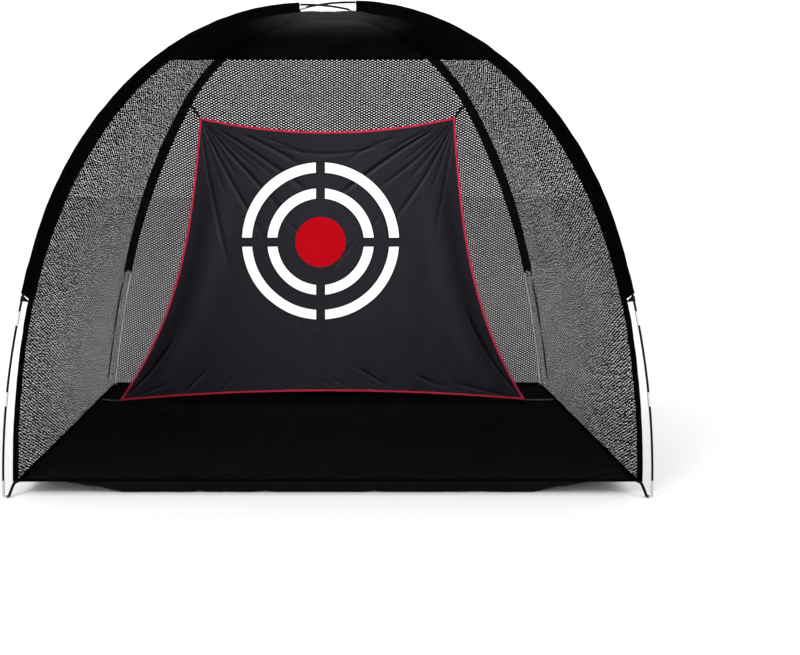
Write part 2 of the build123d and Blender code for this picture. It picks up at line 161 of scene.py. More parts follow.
# Printed rings
PRINT_CENTRE = (-0.040, 0.958)
PRINT_DISC = 0.139
PRINT_RINGS = ((0.240, 0.295), (0.380, 0.435))
PRINT_GAP = 0.050
PRINT_OUTLINE = 0.006


# ---- camera, light and stage ----

def make_camera():
    camera = bpy.data.objects.new("camera", bpy.data.cameras.new("camera"))
    camera.location = CAMERA_PLACE
    camera.rotation_euler = (CAMERA_TILT, 0, 0)
    camera.data.lens = CAMERA_LENS
    camera.data.shift_x = CAMERA_SHIFT
    camera.data.clip_end = 200
    bpy.context.scene.collection.objects.link(camera)
    bpy.context.scene.camera = camera


def make_area_light(name, place, aim, size, power, spread=180):
    light = bpy.data.objects.new(name, bpy.data.lights.new(name, "AREA"))
    light.data.size = size
    light.data.spread = math.radians(spread)
    light.data.energy = power
    light.location = place
    light.rotation_euler = (Vector(aim) - Vector(place)).to_track_quat("-Z", "Y").to_euler()
    bpy.context.scene.collection.objects.link(light)


def make_studio():
    world = bpy.data.worlds.new("studio")
    world.use_nodes = True
    world.node_tree.nodes["Background"].inputs["Color"].default_value = (1, 1, 1, 1)
    world.node_tree.nodes["Background"].inputs["Strength"].default_value = WORLD_LIGHT
    bpy.context.scene.world = world
    bpy.context.scene.view_settings.view_transform = "Standard"
    make_area_light("key_light", (-3.5, -5.0, 5.5), (0, 0, 1.0), 2.0, 200)
    make_area_light("front_light", (-0.6, -4.8, 2.3), (0, 0.42, 1.5), 0.6, 8, 36)
    make_area_light("fill_light", (4.5, -3.0, 3.5), (0, 0, 1.0), 3.0, 50)
    floor = Paint("studio_floor", (0.82, 0.82, 0.82), roughness=0.9, specular=0.0)
    floor.colour(floor.mix(floor.noise(floor.place(), 0.8), (0.815, 0.815, 0.815), (0.825, 0.825, 0.825)))
    half = 30.0
    corners = np.array([(-half, -half, 0), (half, -half, 0), (half, half, 0), (-half, half, 0)])
    make_mesh("studio_floor", corners, [(0, 1, 2, 3)], floor)


# ---- materials ----

class Paint:
    """A material, with short calls that add nodes to it."""

    def __init__(self, name, colour, roughness=0.8, specular=0.1, metallic=0.0):
        self.material = bpy.data.materials.new(name)
        self.material.use_nodes = True
        self.tree = self.material.node_tree
        self.shader = self.tree.nodes["Principled BSDF"]
        self.shader.inputs["Base Color"].default_value = (*colour, 1)
        self.shader.inputs["Roughness"].default_value = roughness
        self.shader.inputs["Specular IOR Level"].default_value = specular
        self.shader.inputs["Metallic"].default_value = metallic

    def add(self, kind, *inputs, **settings):
        """A node with these settings; inputs fill its sockets in order, and None leaves one alone."""
        node = self.tree.nodes.new("ShaderNode" + kind)
        for name, value in settings.items():
            setattr(node, name, value)
        for socket, value in zip(node.inputs, inputs):
            self.fill(socket, value)
        return node

    def fill(self, socket, value):
        if value is None:
            return
        if isinstance(value, bpy.types.NodeSocket):
            self.tree.links.new(value, socket)
        elif isinstance(value, tuple) and len(value) == 3 and socket.type == "RGBA":
            socket.default_value = (*value, 1)
        else:
            socket.default_value = value

    def place(self):
        """Position in the object's own frame, in metres."""
        return self.add("TexCoord").outputs["Object"]

    def uv(self):
        """Distances along and across the cloth, in metres."""
        return self.add("TexCoord").outputs["UV"]

    def split(self, vector):
        return self.add("SeparateXYZ", vector).outputs

    def scaled(self, vector, scales):
        return self.add("VectorMath", vector, scales, operation="MULTIPLY").outputs[0]

    def noise(self, vector, size, detail=2.0):
        """Smooth noise from 0 to 1 with features of this size in metres."""
        return self.add("TexNoise", vector, None, 1.0 / size, detail).outputs["Fac"]

    def math(self, operation, a, b=None, c=None, clamp=False):
        return self.add("Math", a, b, c, operation=operation, use_clamp=clamp).outputs[0]

    def between(self, value, low, high):
        """1 where the value lies between low and high, else 0."""
        above = self.math("GREATER_THAN", value, low)
        return self.math("MULTIPLY", above, self.math("LESS_THAN", value, high))

    def ramp(self, value, low, high, to_low=0.0, to_high=1.0):
        return self.add("MapRange", value, low, high, to_low, to_high).outputs[0]

    def mix(self, share, a, b):
        node = self.add("Mix", data_type="RGBA")
        self.fill(node.inputs[0], share)
        self.fill(node.inputs[6], a)
        self.fill(node.inputs[7], b)
        return node.outputs[2]

    def colour(self, value):
        self.fill(self.shader.inputs["Base Color"], value)

    def roughness(self, value):
        self.fill(self.shader.inputs["Roughness"], value)

    def bump(self, height, depth, strength=1.0):
        """Relief of this depth in metres where the height goes from 0 to 1."""
        node = self.add("Bump", strength, depth)
        self.fill(node.inputs["Height"], height)
        self.fill(self.shader.inputs["Normal"], node.outputs[0])

    def weave(self, vector, pitch):
        """Crossing threads, from 0 to 1."""
        x, y, _ = self.split(vector)
        turn = 2 * math.pi / pitch
        warp = self.math("SINE", self.math("MULTIPLY", x, turn))
        weft = self.math("SINE", self.math("MULTIPLY", y, turn))
        return self.math("MULTIPLY_ADD", self.math("MULTIPLY", warp, weft), 0.5, 0.5)

    def stitches(self, along, across, lines, pitch=0.004, thread=0.0007):
        """1 on the threads of lock-stitched lines that run along the cloth."""
        run = self.math("LESS_THAN", self.math("FRACT", self.math("DIVIDE", along, pitch)), 0.7)
        found = 0.0
        for line in lines:
            off = self.math("ABSOLUTE", self.math("SUBTRACT", across, line))
            found = self.math("MAXIMUM", found, self.math("LESS_THAN", off, thread))
        return self.math("MULTIPLY", found, run)


def cloth_paint(name, colour, specular=0.12, weave=0.0016, fade=1.25, lines=(), pale=None):
    """Woven cloth, unevenly dyed, with fine threads and sewn lines; its tone attribute paints a highlight
    into the colour above 0 and shade below 0. Its UVs are metres.
    """
    paint = Paint(name, colour, roughness=0.75, specular=specular)
    uv = paint.uv()
    along, across, _ = paint.split(uv)
    threads = paint.weave(uv, weave)
    patches = paint.noise(paint.place(), 0.18, 4.0)
    darker = tuple(channel / fade for channel in colour)
    lighter = tuple(channel * fade for channel in colour)
    dye_and_painted_highlight = paint.mix(paint.ramp(patches, 0.35, 0.65), darker, lighter)
    dye_and_painted_highlight = paint.mix(paint.math("MULTIPLY", threads, 0.35), dye_and_painted_highlight, tuple(c * 1.6 for c in colour))
    relief = paint.math("MULTIPLY_ADD", threads, 0.3, 0.35)
    if lines:
        sewn = paint.stitches(along, across, lines)
        dye_and_painted_highlight = paint.mix(sewn, dye_and_painted_highlight, tuple(channel * 2.2 for channel in colour))
        relief = paint.math("MULTIPLY_ADD", sewn, 0.35, relief)
    # Painted highlight where tone is above 0 and painted shade where it is below 0: crease and fold shading
    # on the target, light near the crown's front on the cap
    tone = paint.add("Attribute", attribute_name="tone").outputs["Fac"]
    pale = pale or tuple(channel * 2.0 for channel in colour)
    dye_and_painted_highlight = paint.mix(paint.math("MAXIMUM", tone, 0.0, clamp=True), dye_and_painted_highlight, pale)
    shaded = paint.math("MULTIPLY", tone, -1.0, clamp=True)
    paint.colour(paint.mix(shaded, dye_and_painted_highlight, tuple(channel * 0.25 for channel in colour)))
    paint.roughness(paint.ramp(patches, 0.3, 0.7, 0.62, 0.85))
    paint.bump(relief, 0.0006, 0.5)
    return paint


def webbing_paint(name, colour, rib=0.0022, specular=0.02):
    """Woven webbing: ribs across its length, and streaks of uneven roughness along it."""
    paint = Paint(name, colour, roughness=0.7, specular=specular)
    along, across, _ = paint.split(paint.uv())
    ribs = paint.math("SINE", paint.math("MULTIPLY", along, 2 * math.pi / rib))
    grain = paint.noise(paint.place(), 0.004)
    shade = paint.math("MULTIPLY_ADD", ribs, 0.25, grain, clamp=True)
    paint.colour(paint.mix(shade, tuple(c * 0.6 for c in colour), tuple(c * 1.9 for c in colour)))
    edge = paint.noise(paint.scaled(paint.uv(), (60.0, 600.0, 1.0)), 1.0)
    paint.roughness(paint.ramp(edge, 0.3, 0.7, 0.6, 0.85))
    paint.bump(shade, 0.0005, 0.6)
    return paint


def metal_paint(name, colour, roughness, scratch=(400.0, 400.0, 30.0)):
    """Drawn metal with fine scratches along its length and dull patches."""
    paint = Paint(name, colour, roughness=roughness, specular=0.5, metallic=1.0)
    place = paint.place()
    lines = paint.noise(paint.scaled(place, scratch), 1.0, 3.0)
    dull = paint.noise(place, 0.02, 3.0)
    paint.colour(paint.mix(dull, tuple(c * 0.82 for c in colour), colour))
    worn = paint.math("MULTIPLY_ADD", lines, 0.18, paint.math("MULTIPLY", dull, 0.16))
    paint.roughness(paint.math("ADD", worn, roughness - 0.15, clamp=True))
    paint.bump(lines, 0.0001, 0.25)
    return paint


def pole_paint():
    """Glossy black glass-fibre rod with fine lengthwise fibres and rubbed spots."""
    paint = Paint("pole_fibreglass", (0.002, 0.002, 0.002), roughness=0.35, specular=0.10)
    place = paint.place()
    fibres = paint.noise(paint.scaled(place, (900.0, 900.0, 40.0)), 1.0, 2.0)
    rubbed = paint.ramp(paint.noise(place, 0.05, 4.0), 0.55, 0.75)
    paint.colour(paint.mix(fibres, (0.001, 0.001, 0.001), (0.004, 0.004, 0.004)))
    paint.roughness(paint.ramp(rubbed, 0.0, 1.0, 0.30, 0.50))
    paint.bump(fibres, 0.0001, 0.2)
    return paint


def plastic_paint():
    """Moulded black plastic with a fine spark-eroded grain."""
    paint = Paint("clip_plastic", (0.003, 0.003, 0.003), roughness=0.5, specular=0.08)
    grain = paint.noise(paint.place(), 0.0007, 2.0)
    paint.colour(paint.mix(grain, (0.002, 0.002, 0.002), (0.006, 0.006, 0.006)))
    paint.roughness(paint.ramp(grain, 0.3, 0.7, 0.42, 0.60))
    paint.bump(grain, 0.0002, 0.4)
    return paint


def net_paint():
    """Black knitted polyester strands, a little uneven in tone."""
    paint = Paint("net_mesh", (0.004, 0.004, 0.004), roughness=0.85, specular=0.03)
    tone = paint.noise(paint.place(), 0.05, 3.0)
    paint.colour(paint.mix(tone, (0.002, 0.002, 0.002), (0.008, 0.008, 0.008)))
    return paint


def target_paint(printed):
    """Charcoal cloth; the front also carries the printed rings."""
    colour = (0.0158, 0.0146, 0.0185)
    name = "target_front" if printed else "target_back"
    # pale is the painted highlight on crease and fold ridges; their valleys take painted shade
    paint = cloth_paint(name, colour, fade=1.08, specular=0.02, pale=(0.044, 0.041, 0.048))
    if not printed:
        return paint
    x, v, _ = paint.split(paint.uv())
    across = paint.math("SUBTRACT", x, PRINT_CENTRE[0])
    above = paint.math("SUBTRACT", v, PRINT_CENTRE[1])
    across_squared = paint.math("MULTIPLY", across, across)
    above_squared = paint.math("MULTIPLY", above, above)
    radius = paint.math("SQRT", paint.math("ADD", across_squared, above_squared))
    base = paint.shader.inputs["Base Color"].links[0].from_socket
    wear = paint.noise(paint.uv(), 0.012, 3.0)
    white = paint.mix(wear, (0.92, 0.92, 0.92), (0.97, 0.97, 0.97))
    red = paint.mix(wear, (0.36, 0.0008, 0.0052), (0.41, 0.0014, 0.0075))
    for inner, outer in PRINT_RINGS:
        for grow, ink in ((PRINT_OUTLINE, (0.003, 0.003, 0.003)), (0.0, white)):
            band = paint.between(radius, inner - grow, outer + grow)
            gap = PRINT_GAP / 2 - grow
            beside_x = paint.math("GREATER_THAN", paint.math("ABSOLUTE", across), gap)
            beside_v = paint.math("GREATER_THAN", paint.math("ABSOLUTE", above), gap)
            beside = paint.math("MULTIPLY", beside_x, beside_v)
            base = paint.mix(paint.math("MULTIPLY", band, beside), base, ink)
    paint.colour(paint.mix(paint.math("LESS_THAN", radius, PRINT_DISC), base, red))
    return paint


# ---- meshes ----

def unit(vectors):
    vectors = np.asarray(vectors, float)
    return vectors / np.linalg.norm(vectors, axis=-1, keepdims=True)


def waves(x, y, size, seed, count=7):
    """Smooth uneven pattern of crossing waves, about -1 to 1."""
    random = np.random.default_rng(seed)
    total = 0.0
    for _ in range(count):
        angle = random.uniform(0, 2 * math.pi)
        length = size * random.uniform(0.6, 1.7)
        phase = random.uniform(0, 2 * math.pi)
        total = total + np.sin(2 * math.pi * (x * math.cos(angle) + y * math.sin(angle)) / length + phase)
    return total / math.sqrt(count)


def grid_faces(rows, columns, wrap=False):
    """Quads of a grid of points stored row by row; wrap joins the last column to the first."""
    row, column = np.meshgrid(np.arange(rows - 1), np.arange(columns if wrap else columns - 1), indexing="ij")
    here = row * columns + column
    beside = row * columns + (column + 1) % columns
    return np.stack([here, beside, beside + columns, here + columns], axis=-1).reshape(-1, 4)


def capped_faces(rings, count):
    """Faces of a closed section's rings, with a cap on each end."""
    faces = [tuple(face) for face in grid_faces(rings, count, wrap=True)]
    faces.append(tuple(range(count))[::-1])
    faces.append(tuple(range((rings - 1) * count, rings * count)))
    return faces


def looped_faces(rings, count):
    """Faces of a closed section's rings, the last ring joined to the first."""
    faces = [tuple(face) for face in grid_faces(rings, count, wrap=True)]
    last = (rings - 1) * count
    faces += [(last + k, last + (k + 1) % count, (k + 1) % count, k) for k in range(count)]
    return faces


def distances(path):
    """Distance of each point of a path from its start."""
    return np.concatenate([[0], np.cumsum(np.linalg.norm(np.diff(path, axis=0), axis=1))])


def squared(values, power):
    """Sines or cosines drawn towards a square, for rounded corners; the sign is kept."""
    return np.sign(values) * np.abs(values) ** power


def make_mesh(name, points, faces, *paints, uv=None, tone=None):
    """A smooth mesh. Its UVs are metres, and tone paints a highlight into a cloth's colour above 0 and shade
    below.
    """
    mesh = bpy.data.meshes.new(name)
    mesh.from_pydata(np.asarray(points).tolist(), [], [tuple(face) for face in faces])
    mesh.update()
    mesh.shade_smooth()
    if uv is not None:
        corner = np.zeros(len(mesh.loops), np.int32)
        mesh.loops.foreach_get("vertex_index", corner)
        layer = mesh.uv_layers.new(name="metres")
        layer.data.foreach_set("uv", np.asarray(uv, float)[corner].ravel())
    if tone is not None:
        shade = mesh.attributes.new("tone", "FLOAT", "POINT")
        shade.data.foreach_set("value", np.asarray(tone, np.float32).ravel())
    for paint in paints:
        mesh.materials.append(paint.material)
    made = bpy.data.objects.new(name, mesh)
    bpy.context.scene.collection.objects.link(made)
    return made


def thicken(piece, thickness, offset=0.0):
    """Gives a one-layer cloth its real thickness; the second material goes on its other face."""
    solid = piece.modifiers.new("thickness", "SOLIDIFY")
    solid.thickness = thickness
    solid.offset = offset
    solid.material_offset = len(piece.data.materials) - 1
    return piece


def stands_for(piece, body, slot, *nodes):
    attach(piece, body)
    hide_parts(*nodes)
    return piece


def sides_of(path, level=None):
    """Two unit vectors square to a path at each of its points: one in the path's bend, one aside."""
    ahead = unit(np.gradient(path, axis=0))
    level = UP if level is None else level
    aside = unit(np.cross(ahead, level))
    return np.cross(aside, ahead), aside


def swept_points(path, first, second, section):
    """Points of a section carried along a path; the section may change from ring to ring."""
    section = np.broadcast_to(section, (len(path),) + np.shape(section)[-2:])
    return path[:, None] + first[:, None] * section[..., :1] + second[:, None] * section[..., 1:]


def strap_uv(path, section):
    """Distance along the path and round the section, in metres."""
    return spread_uv(distances(path), distances(section))


def spread_uv(along, across):
    """UVs of a grid of points from the distance of each row and of each column."""
    return np.stack(np.broadcast_arrays(along[:, None], across[None]), axis=-1).reshape(-1, 2)


def make_strap(name, path, section, paint, level=None):
    """A solid strap or cord: a closed section swept along a path, with capped ends."""
    path = np.asarray(path, float)
    first, second = sides_of(path, level)
    points = swept_points(path, first, second, section).reshape(-1, 3)
    faces = capped_faces(len(path), len(section))
    return make_mesh(name, points, faces, paint, uv=strap_uv(path, np.asarray(section)))


def round_section(diameter, sides=12):
    turn = np.linspace(0, 2 * math.pi, sides, endpoint=False)
    return np.stack([np.cos(turn), np.sin(turn)], axis=1) * diameter / 2


def flat_section(wide, thick, sides=20):
    """Flat band with rounded edges; its width lies along the second axis."""
    turn = np.linspace(0, 2 * math.pi, sides, endpoint=False)
    x = squared(np.cos(turn), 0.35)
    y = squared(np.sin(turn), 0.35)
    return np.stack([x * thick / 2, y * wide / 2], axis=1)


def ribbon_section(wide, thick):
    """Flat band whose width lies along the first axis, the level way of its path."""
    return flat_section(wide, thick)[::-1, ::-1]


def smooth_path(points, step):
    """A curve through given points, cut into even steps."""
    points = np.asarray(points, float)
    curve = bpy.data.curves.new("route", "CURVE")
    curve.dimensions = "3D"
    curve.resolution_u = 24
    spline = curve.splines.new("NURBS")
    spline.points.add(len(points) - 1)
    for control, point in zip(spline.points, points):
        control.co = (*point, 1)
    spline.order_u = 3
    spline.use_endpoint_u = True
    carrier = bpy.data.objects.new("route", curve)
    mesh = bpy.data.meshes.new_from_object(carrier)
    line = np.array([vertex.co for vertex in mesh.vertices])
    bpy.data.meshes.remove(mesh)
    bpy.data.curves.remove(curve)
    along = distances(line)
    stops = np.linspace(0, along[-1], max(3, round(along[-1] / step) + 1))
    return np.stack([np.interp(stops, along, line[:, axis]) for axis in range(3)], axis=1)


# ---- the poles' curve ----

Arc = namedtuple("Arc", "radius first last centre_q centre_z")
HALF_SPAN = math.hypot(FEET_ACROSS / 2, FEET_DEEP / 2)


def half_pole(tilts, leg_radius, crossing_z):
    """Arcs of one half of a pole, foot to crossing, with q measured from the foot."""
    foot, leg, shoulder, top = [math.radians(tilt) for tilt in tilts]
    r_left = HALF_SPAN - leg_radius * (math.cos(foot) - math.cos(leg))
    z_left = crossing_z - leg_radius * (math.sin(leg) - math.sin(foot))
    shoulder_r = math.cos(leg) - math.cos(shoulder)
    shoulder_z = math.sin(shoulder) - math.sin(leg)
    bow_r = math.cos(shoulder) - math.cos(top)
    bow_z = math.sin(top) - math.sin(shoulder)
    scale = shoulder_r * bow_z - bow_r * shoulder_z
    shoulder_radius = (r_left * bow_z - bow_r * z_left) / scale
    bow_radius = (shoulder_r * z_left - r_left * shoulder_z) / scale
    arcs = []
    r = z = 0.0
    for radius, first, last in zip((leg_radius, shoulder_radius, bow_radius), tilts, tilts[1:]):
        start, stop = math.radians(first), math.radians(last)
        centre_r = r + radius * math.cos(start)
        centre_z = z - radius * math.sin(start)
        arcs.append(Arc(radius, first, last, centre_r, centre_z))
        r = centre_r - radius * math.cos(stop)
        z = centre_z + radius * math.sin(stop)
    return arcs


class Pole:
    """A pole in its upright plane. Tilt runs from the front foot, over the top at 90, to the rear foot."""

    def __init__(self, side, crossing_z):
        front = [
            arc._replace(centre_q=arc.centre_q - HALF_SPAN)
            for arc in half_pole(FRONT_TILTS, FRONT_LEG_RADIUS, crossing_z)
        ]
        rear = [
            Arc(arc.radius, 180 - arc.last, 180 - arc.first, HALF_SPAN - arc.centre_q, arc.centre_z)
            for arc in reversed(half_pole(REAR_TILTS, REAR_LEG_RADIUS, crossing_z))
        ]
        self.arcs = np.array(front + rear)
        self.along = unit([-side * FEET_ACROSS, FEET_DEEP, 0.0])
        self.aside = np.cross(self.along, UP)

    def line(self, tilts, inward=0.0):
        """Points on the line parallel to the pole, this far inward of it."""
        arc = self.arcs[np.minimum(np.searchsorted(self.arcs[:, 2], tilts), len(self.arcs) - 1)]
        turn = np.radians(tilts)
        q = arc[:, 3] - (arc[:, 0] - inward) * np.cos(turn)
        z = arc[:, 4] + (arc[:, 0] - inward) * np.sin(turn)
        return q[:, None] * self.along + z[:, None] * UP

    def inward(self, tilts):
        turn = np.radians(tilts)
        return np.cos(turn)[:, None] * self.along - np.sin(turn)[:, None] * UP


LOWER_POLE = Pole(-1, LOWER_CROSSING_Z)
UPPER_POLE = Pole(1, LOWER_CROSSING_Z + CROSSING_GAP)
CORNERS = {
    "front_left": (LOWER_POLE, "front"),
    "front_right": (UPPER_POLE, "front"),
    "rear_left": (UPPER_POLE, "rear"),
    "rear_right": (LOWER_POLE, "rear"),
}


def leg_tilts(corner, count=3000):
    """Fine tilts from a foot up to the crossing."""
    foot = FRONT_TILTS[0] if CORNERS[corner][1] == "front" else 180 - REAR_TILTS[0]
    return np.linspace(foot, 90, count)


def seam_offset(corner, tilts):
    """How far the seam lies inward of the pole; at the crown both poles' seams are level."""
    pole, _ = CORNERS[corner]
    height = pole.line(tilts)[:, 2]
    offset = np.interp(height, SEAM_HEIGHTS, SEAM_OFFSETS)
    if pole is UPPER_POLE:
        offset = offset + CROSSING_GAP * np.clip((height - CROWN_LEVELS_FROM) / CROWN_LEVELS_OVER, 0, 1)
    return offset


def seam(corner, tilts):
    return CORNERS[corner][0].line(tilts, seam_offset(corner, tilts))


def tilt_at_height(corner, height, on_seam=False):
    tilts = leg_tilts(corner)
    line = seam(corner, tilts) if on_seam else CORNERS[corner][0].line(tilts)
    return np.interp(height, line[:, 2], tilts)


def tilt_near_crossing(corner, away):
    """Tilt where the pole is this far, level, from the crossing."""
    pole, _ = CORNERS[corner]
    tilts = leg_tilts(corner)
    q = np.abs(pole.line(tilts) @ pole.along)
    return np.interp(-away, -q, tilts)


def run_of_tilts(corner, low, high, step):
    """Tilts from low to high, about step metres apart."""
    ends = CORNERS[corner][0].line(np.linspace(low, high, 50))
    return np.linspace(low, high, max(2, round(path_length(ends) / step) + 1))


def path_length(path):
    return np.linalg.norm(np.diff(path, axis=0), axis=1).sum()


# ---- nets ----

class Wall:
    """A panel stretched between the seam lines of two corners; u goes up it and v across it."""

    ROWS = 400

    def __init__(self, name, low, high):
        self.name = name
        self.corners = WALL_CORNERS[name]
        share = np.linspace(0, 1, self.ROWS)
        self.sides = [seam_line(corner, low, high, share) for corner in self.corners]
        span = self.sides[1] - self.sides[0]
        middle = (self.sides[0] + self.sides[1]) / 2
        steps = np.linalg.norm(np.diff(middle, axis=0), axis=1)
        self.u = share
        self.up = np.concatenate([[0], np.cumsum(steps)])
        self.width = np.linalg.norm(span, axis=1)
        self.normal = unit(np.cross(span, np.gradient(middle, axis=0)))
        self.length = self.up[-1]
        self.area = float((steps * (self.width[1:] + self.width[:-1]) / 2).sum())

    def read(self, table, u):
        return np.stack([np.interp(u, self.u, table[:, axis]) for axis in range(3)], axis=-1)

    def at(self, u, v, lift=0.0):
        """Points of the panel, lifted outward from it."""
        first, second = [self.read(side, u) for side in self.sides]
        flat = first + (second - first) * np.asarray(v)[..., None]
        return flat + self.read(self.normal, u) * np.asarray(lift)[..., None]


WALL_CORNERS = {
    "left": ("front_left", "rear_left"),
    "back": ("rear_left", "rear_right"),
    "right": ("rear_right", "front_right"),
}


def seam_line(corner, low, high, share):
    """Seam of a corner between two levels: heights for front and rear, or None for the crown."""
    _, end = CORNERS[corner]
    if high is not None:
        heights = low[end] + (high[end] - low[end]) * share
        return seam(corner, tilt_at_height(corner, heights, on_seam=True))
    first = tilt_at_height(corner, low[end], on_seam=True)
    last = tilt_near_crossing(corner, CROWN_CUT)
    return seam(corner, first + (last - first) * share)


def hexagon_strands(wall):
    """Corners of the net's holes in the flat panel, and the faces of the strands between them."""
    columns = int(wall.width.max() / 2 / MESH_ACROSS) + 2
    rows = int(wall.length / MESH_UP) + 3
    i, j = np.meshgrid(np.arange(-columns, columns + 1), np.arange(rows), indexing="ij")
    random = np.random.default_rng(30 + list(WALL_CORNERS).index(wall.name))
    drift, spread = HOLE_JITTER[wall.name]
    size = HOLE_SIZE[wall.name] * np.clip(1 + spread * random.normal(size=i.shape), 0.5, 1.35)[..., None]
    size = size * (1 - HOLE_TAPER[wall.name] * j / rows)[..., None]
    shift_a, shift_b = np.clip(random.normal(size=(2, *i.shape, 1)), -1.5, 1.5) * drift
    corner_a = np.array([2, 1, -1, -2, -1, 1]) / 4 * HOLE_ACROSS * size
    corner_b = np.array([0, 1, 1, 0, -1, -1]) / 2 * HOLE_UP * size
    a = i[..., None] * MESH_ACROSS + corner_a + shift_a * 0.5
    b = (j - 1 + 0.5 * (i % 2))[..., None] * MESH_UP + corner_b + shift_b
    first = np.arange(i.size).reshape(i.shape) * 6
    here = first[:-1, 1:-1]
    above = first[:-1, 2:]
    odd = (i % 2)[:-1, 1:-1]
    column = np.arange(i.shape[0] - 1)[:, None] + 1
    row = np.arange(1, rows - 1)[None]
    upper_right = first[column, row + odd]
    lower_right = first[column, row + odd - 1]
    quads = [
        (here + 1, above + 5, above + 4, here + 2),
        (here, upper_right + 4, upper_right + 3, here + 1),
        (here + 5, lower_right + 3, lower_right + 2, here),
    ]
    triangles = [
        (here, lower_right + 2, upper_right + 4),
        (here + 1, upper_right + 3, above + 5),
    ]
    faces = [np.stack(corners, axis=-1).reshape(-1, len(corners)) for corners in quads + triangles]
    return a.ravel(), b.ravel(), faces


def make_net(wall, paint):
    a, b, groups = hexagon_strands(wall)
    height = np.clip(b, 0, wall.length)
    reach = np.interp(height, wall.up, wall.width) / 2
    inside = (np.abs(a) <= reach) & (b >= 0) & (b <= wall.length)
    across = np.clip(a, -reach, reach)
    kept = [group[inside[group].sum(axis=1) >= 2] for group in groups]
    used = np.unique(np.concatenate([group.ravel() for group in kept]))
    number = np.zeros(len(a), np.int64)
    number[used] = np.arange(len(used))
    faces = [tuple(face) for group in kept for face in number[group].tolist()]
    u = np.interp(height[used], wall.up, wall.u)
    v = 0.5 + across[used] / reach[used] / 2
    calm = np.sin(math.pi * u) * np.sin(math.pi * v)
    seed = 20 + list(WALL_CORNERS).index(wall.name)
    billow = NET_BILLOW[wall.name] * calm * waves(across[used], height[used], 0.55, seed)
    points = wall.at(u, v, billow)
    uv = np.stack([across[used], height[used]], axis=1)
    net = make_mesh(f"net_{wall.name}", points, faces, paint, uv=uv)
    stands_for(net, "root", "net_mesh", f"net_{wall.name}")


# ---- cap ----

def crown_light(points):
    """How pale the cap is: light comes through it near the crown's front edge."""
    level = np.clip((points[:, 2] - CROWN_LIGHT_FROM) / CROWN_LIGHT_OVER, 0, 1)
    near = np.clip(1.1 - np.abs(points[:, 1]) / CROWN_LIGHT_REACH, 0, 1)
    return level ** CROWN_LIGHT_RISE * near


def make_cap(wall, paint):
    """Cap panel with tension wrinkles that run between its seams."""
    rows, columns = 60, 110
    u, v = np.meshgrid(np.linspace(0, 1, rows), np.linspace(0, 1, columns), indexing="ij")
    up = np.interp(u, wall.u, wall.up)
    across = (v - 0.5) * np.interp(u, wall.u, wall.width)
    calm = np.sin(math.pi * np.clip(u, 0, 1)) ** 0.5 * np.sin(math.pi * v) ** 0.5
    seed = 40 + list(WALL_CORNERS).index(wall.name)
    lift = calm * (0.0035 * waves(across, up * 3, 0.30, seed) + 0.0015 * waves(across, up, 0.06, seed + 3))
    points = wall.at(u, v, lift).reshape(-1, 3)
    uv = np.stack([across, up], axis=-1).reshape(-1, 2)
    faces = grid_faces(rows, columns)
    # tone: painted light near the crown's front edge
    cap = make_mesh(f"cap_{wall.name}", points, faces, paint, uv=uv, tone=crown_light(points))
    thicken(cap, CLOTH)
    stands_for(cap, "root", "cap_cloth", f"cap_{wall.name}")


def make_tape_on_wall(name, wall, u, lift, wide, paint, steps=140):
    """Tape sewn level across a wall, centred at height share u."""
    v = np.linspace(0.004, 0.996, steps)
    path = wall.at(np.full(steps, u), v, np.full(steps, lift))
    path[:, 2] += 0.0006 * waves(v * wall.width[0], v * 0, 0.05, 70 + len(name))
    normal = np.broadcast_to(wall.read(wall.normal, np.array([u])), path.shape)
    ahead = unit(np.gradient(path, axis=0))
    second = np.cross(ahead, normal)
    section = flat_section(wide, TAPE_THICK)
    points = swept_points(path, normal, second, section).reshape(-1, 3)
    tape = make_mesh(name, points, capped_faces(steps, len(section)), paint, uv=strap_uv(path, section))
    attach(tape, "root")


# ---- sleeves and edge bands ----

def sleeve_profile():
    """Half of the sleeve's section: distance inward and half thickness, pole side first.

    The web reaches to SEAM_OFFSET here, and make_sleeve stretches it to the true seam."""
    turn = np.linspace(math.pi, math.pi / 2, 7)
    nose = np.stack([SLEEVE_HALF * np.cos(turn), SLEEVE_HALF * np.sin(turn)], axis=1)
    flank = [(0.008, 0.0074), (0.015, 0.0052), (0.022, 0.0030), (SLEEVE_FLAT - 0.002, 0.0016)]
    web = [(SLEEVE_FLAT + 0.002, 0.0013), (0.040, 0.0014)]
    hem = [(SEAM_OFFSET, 0.0014), (SEAM_OFFSET + 0.003, 0.0011)]
    return np.array([*nose, *flank, *web, *hem])


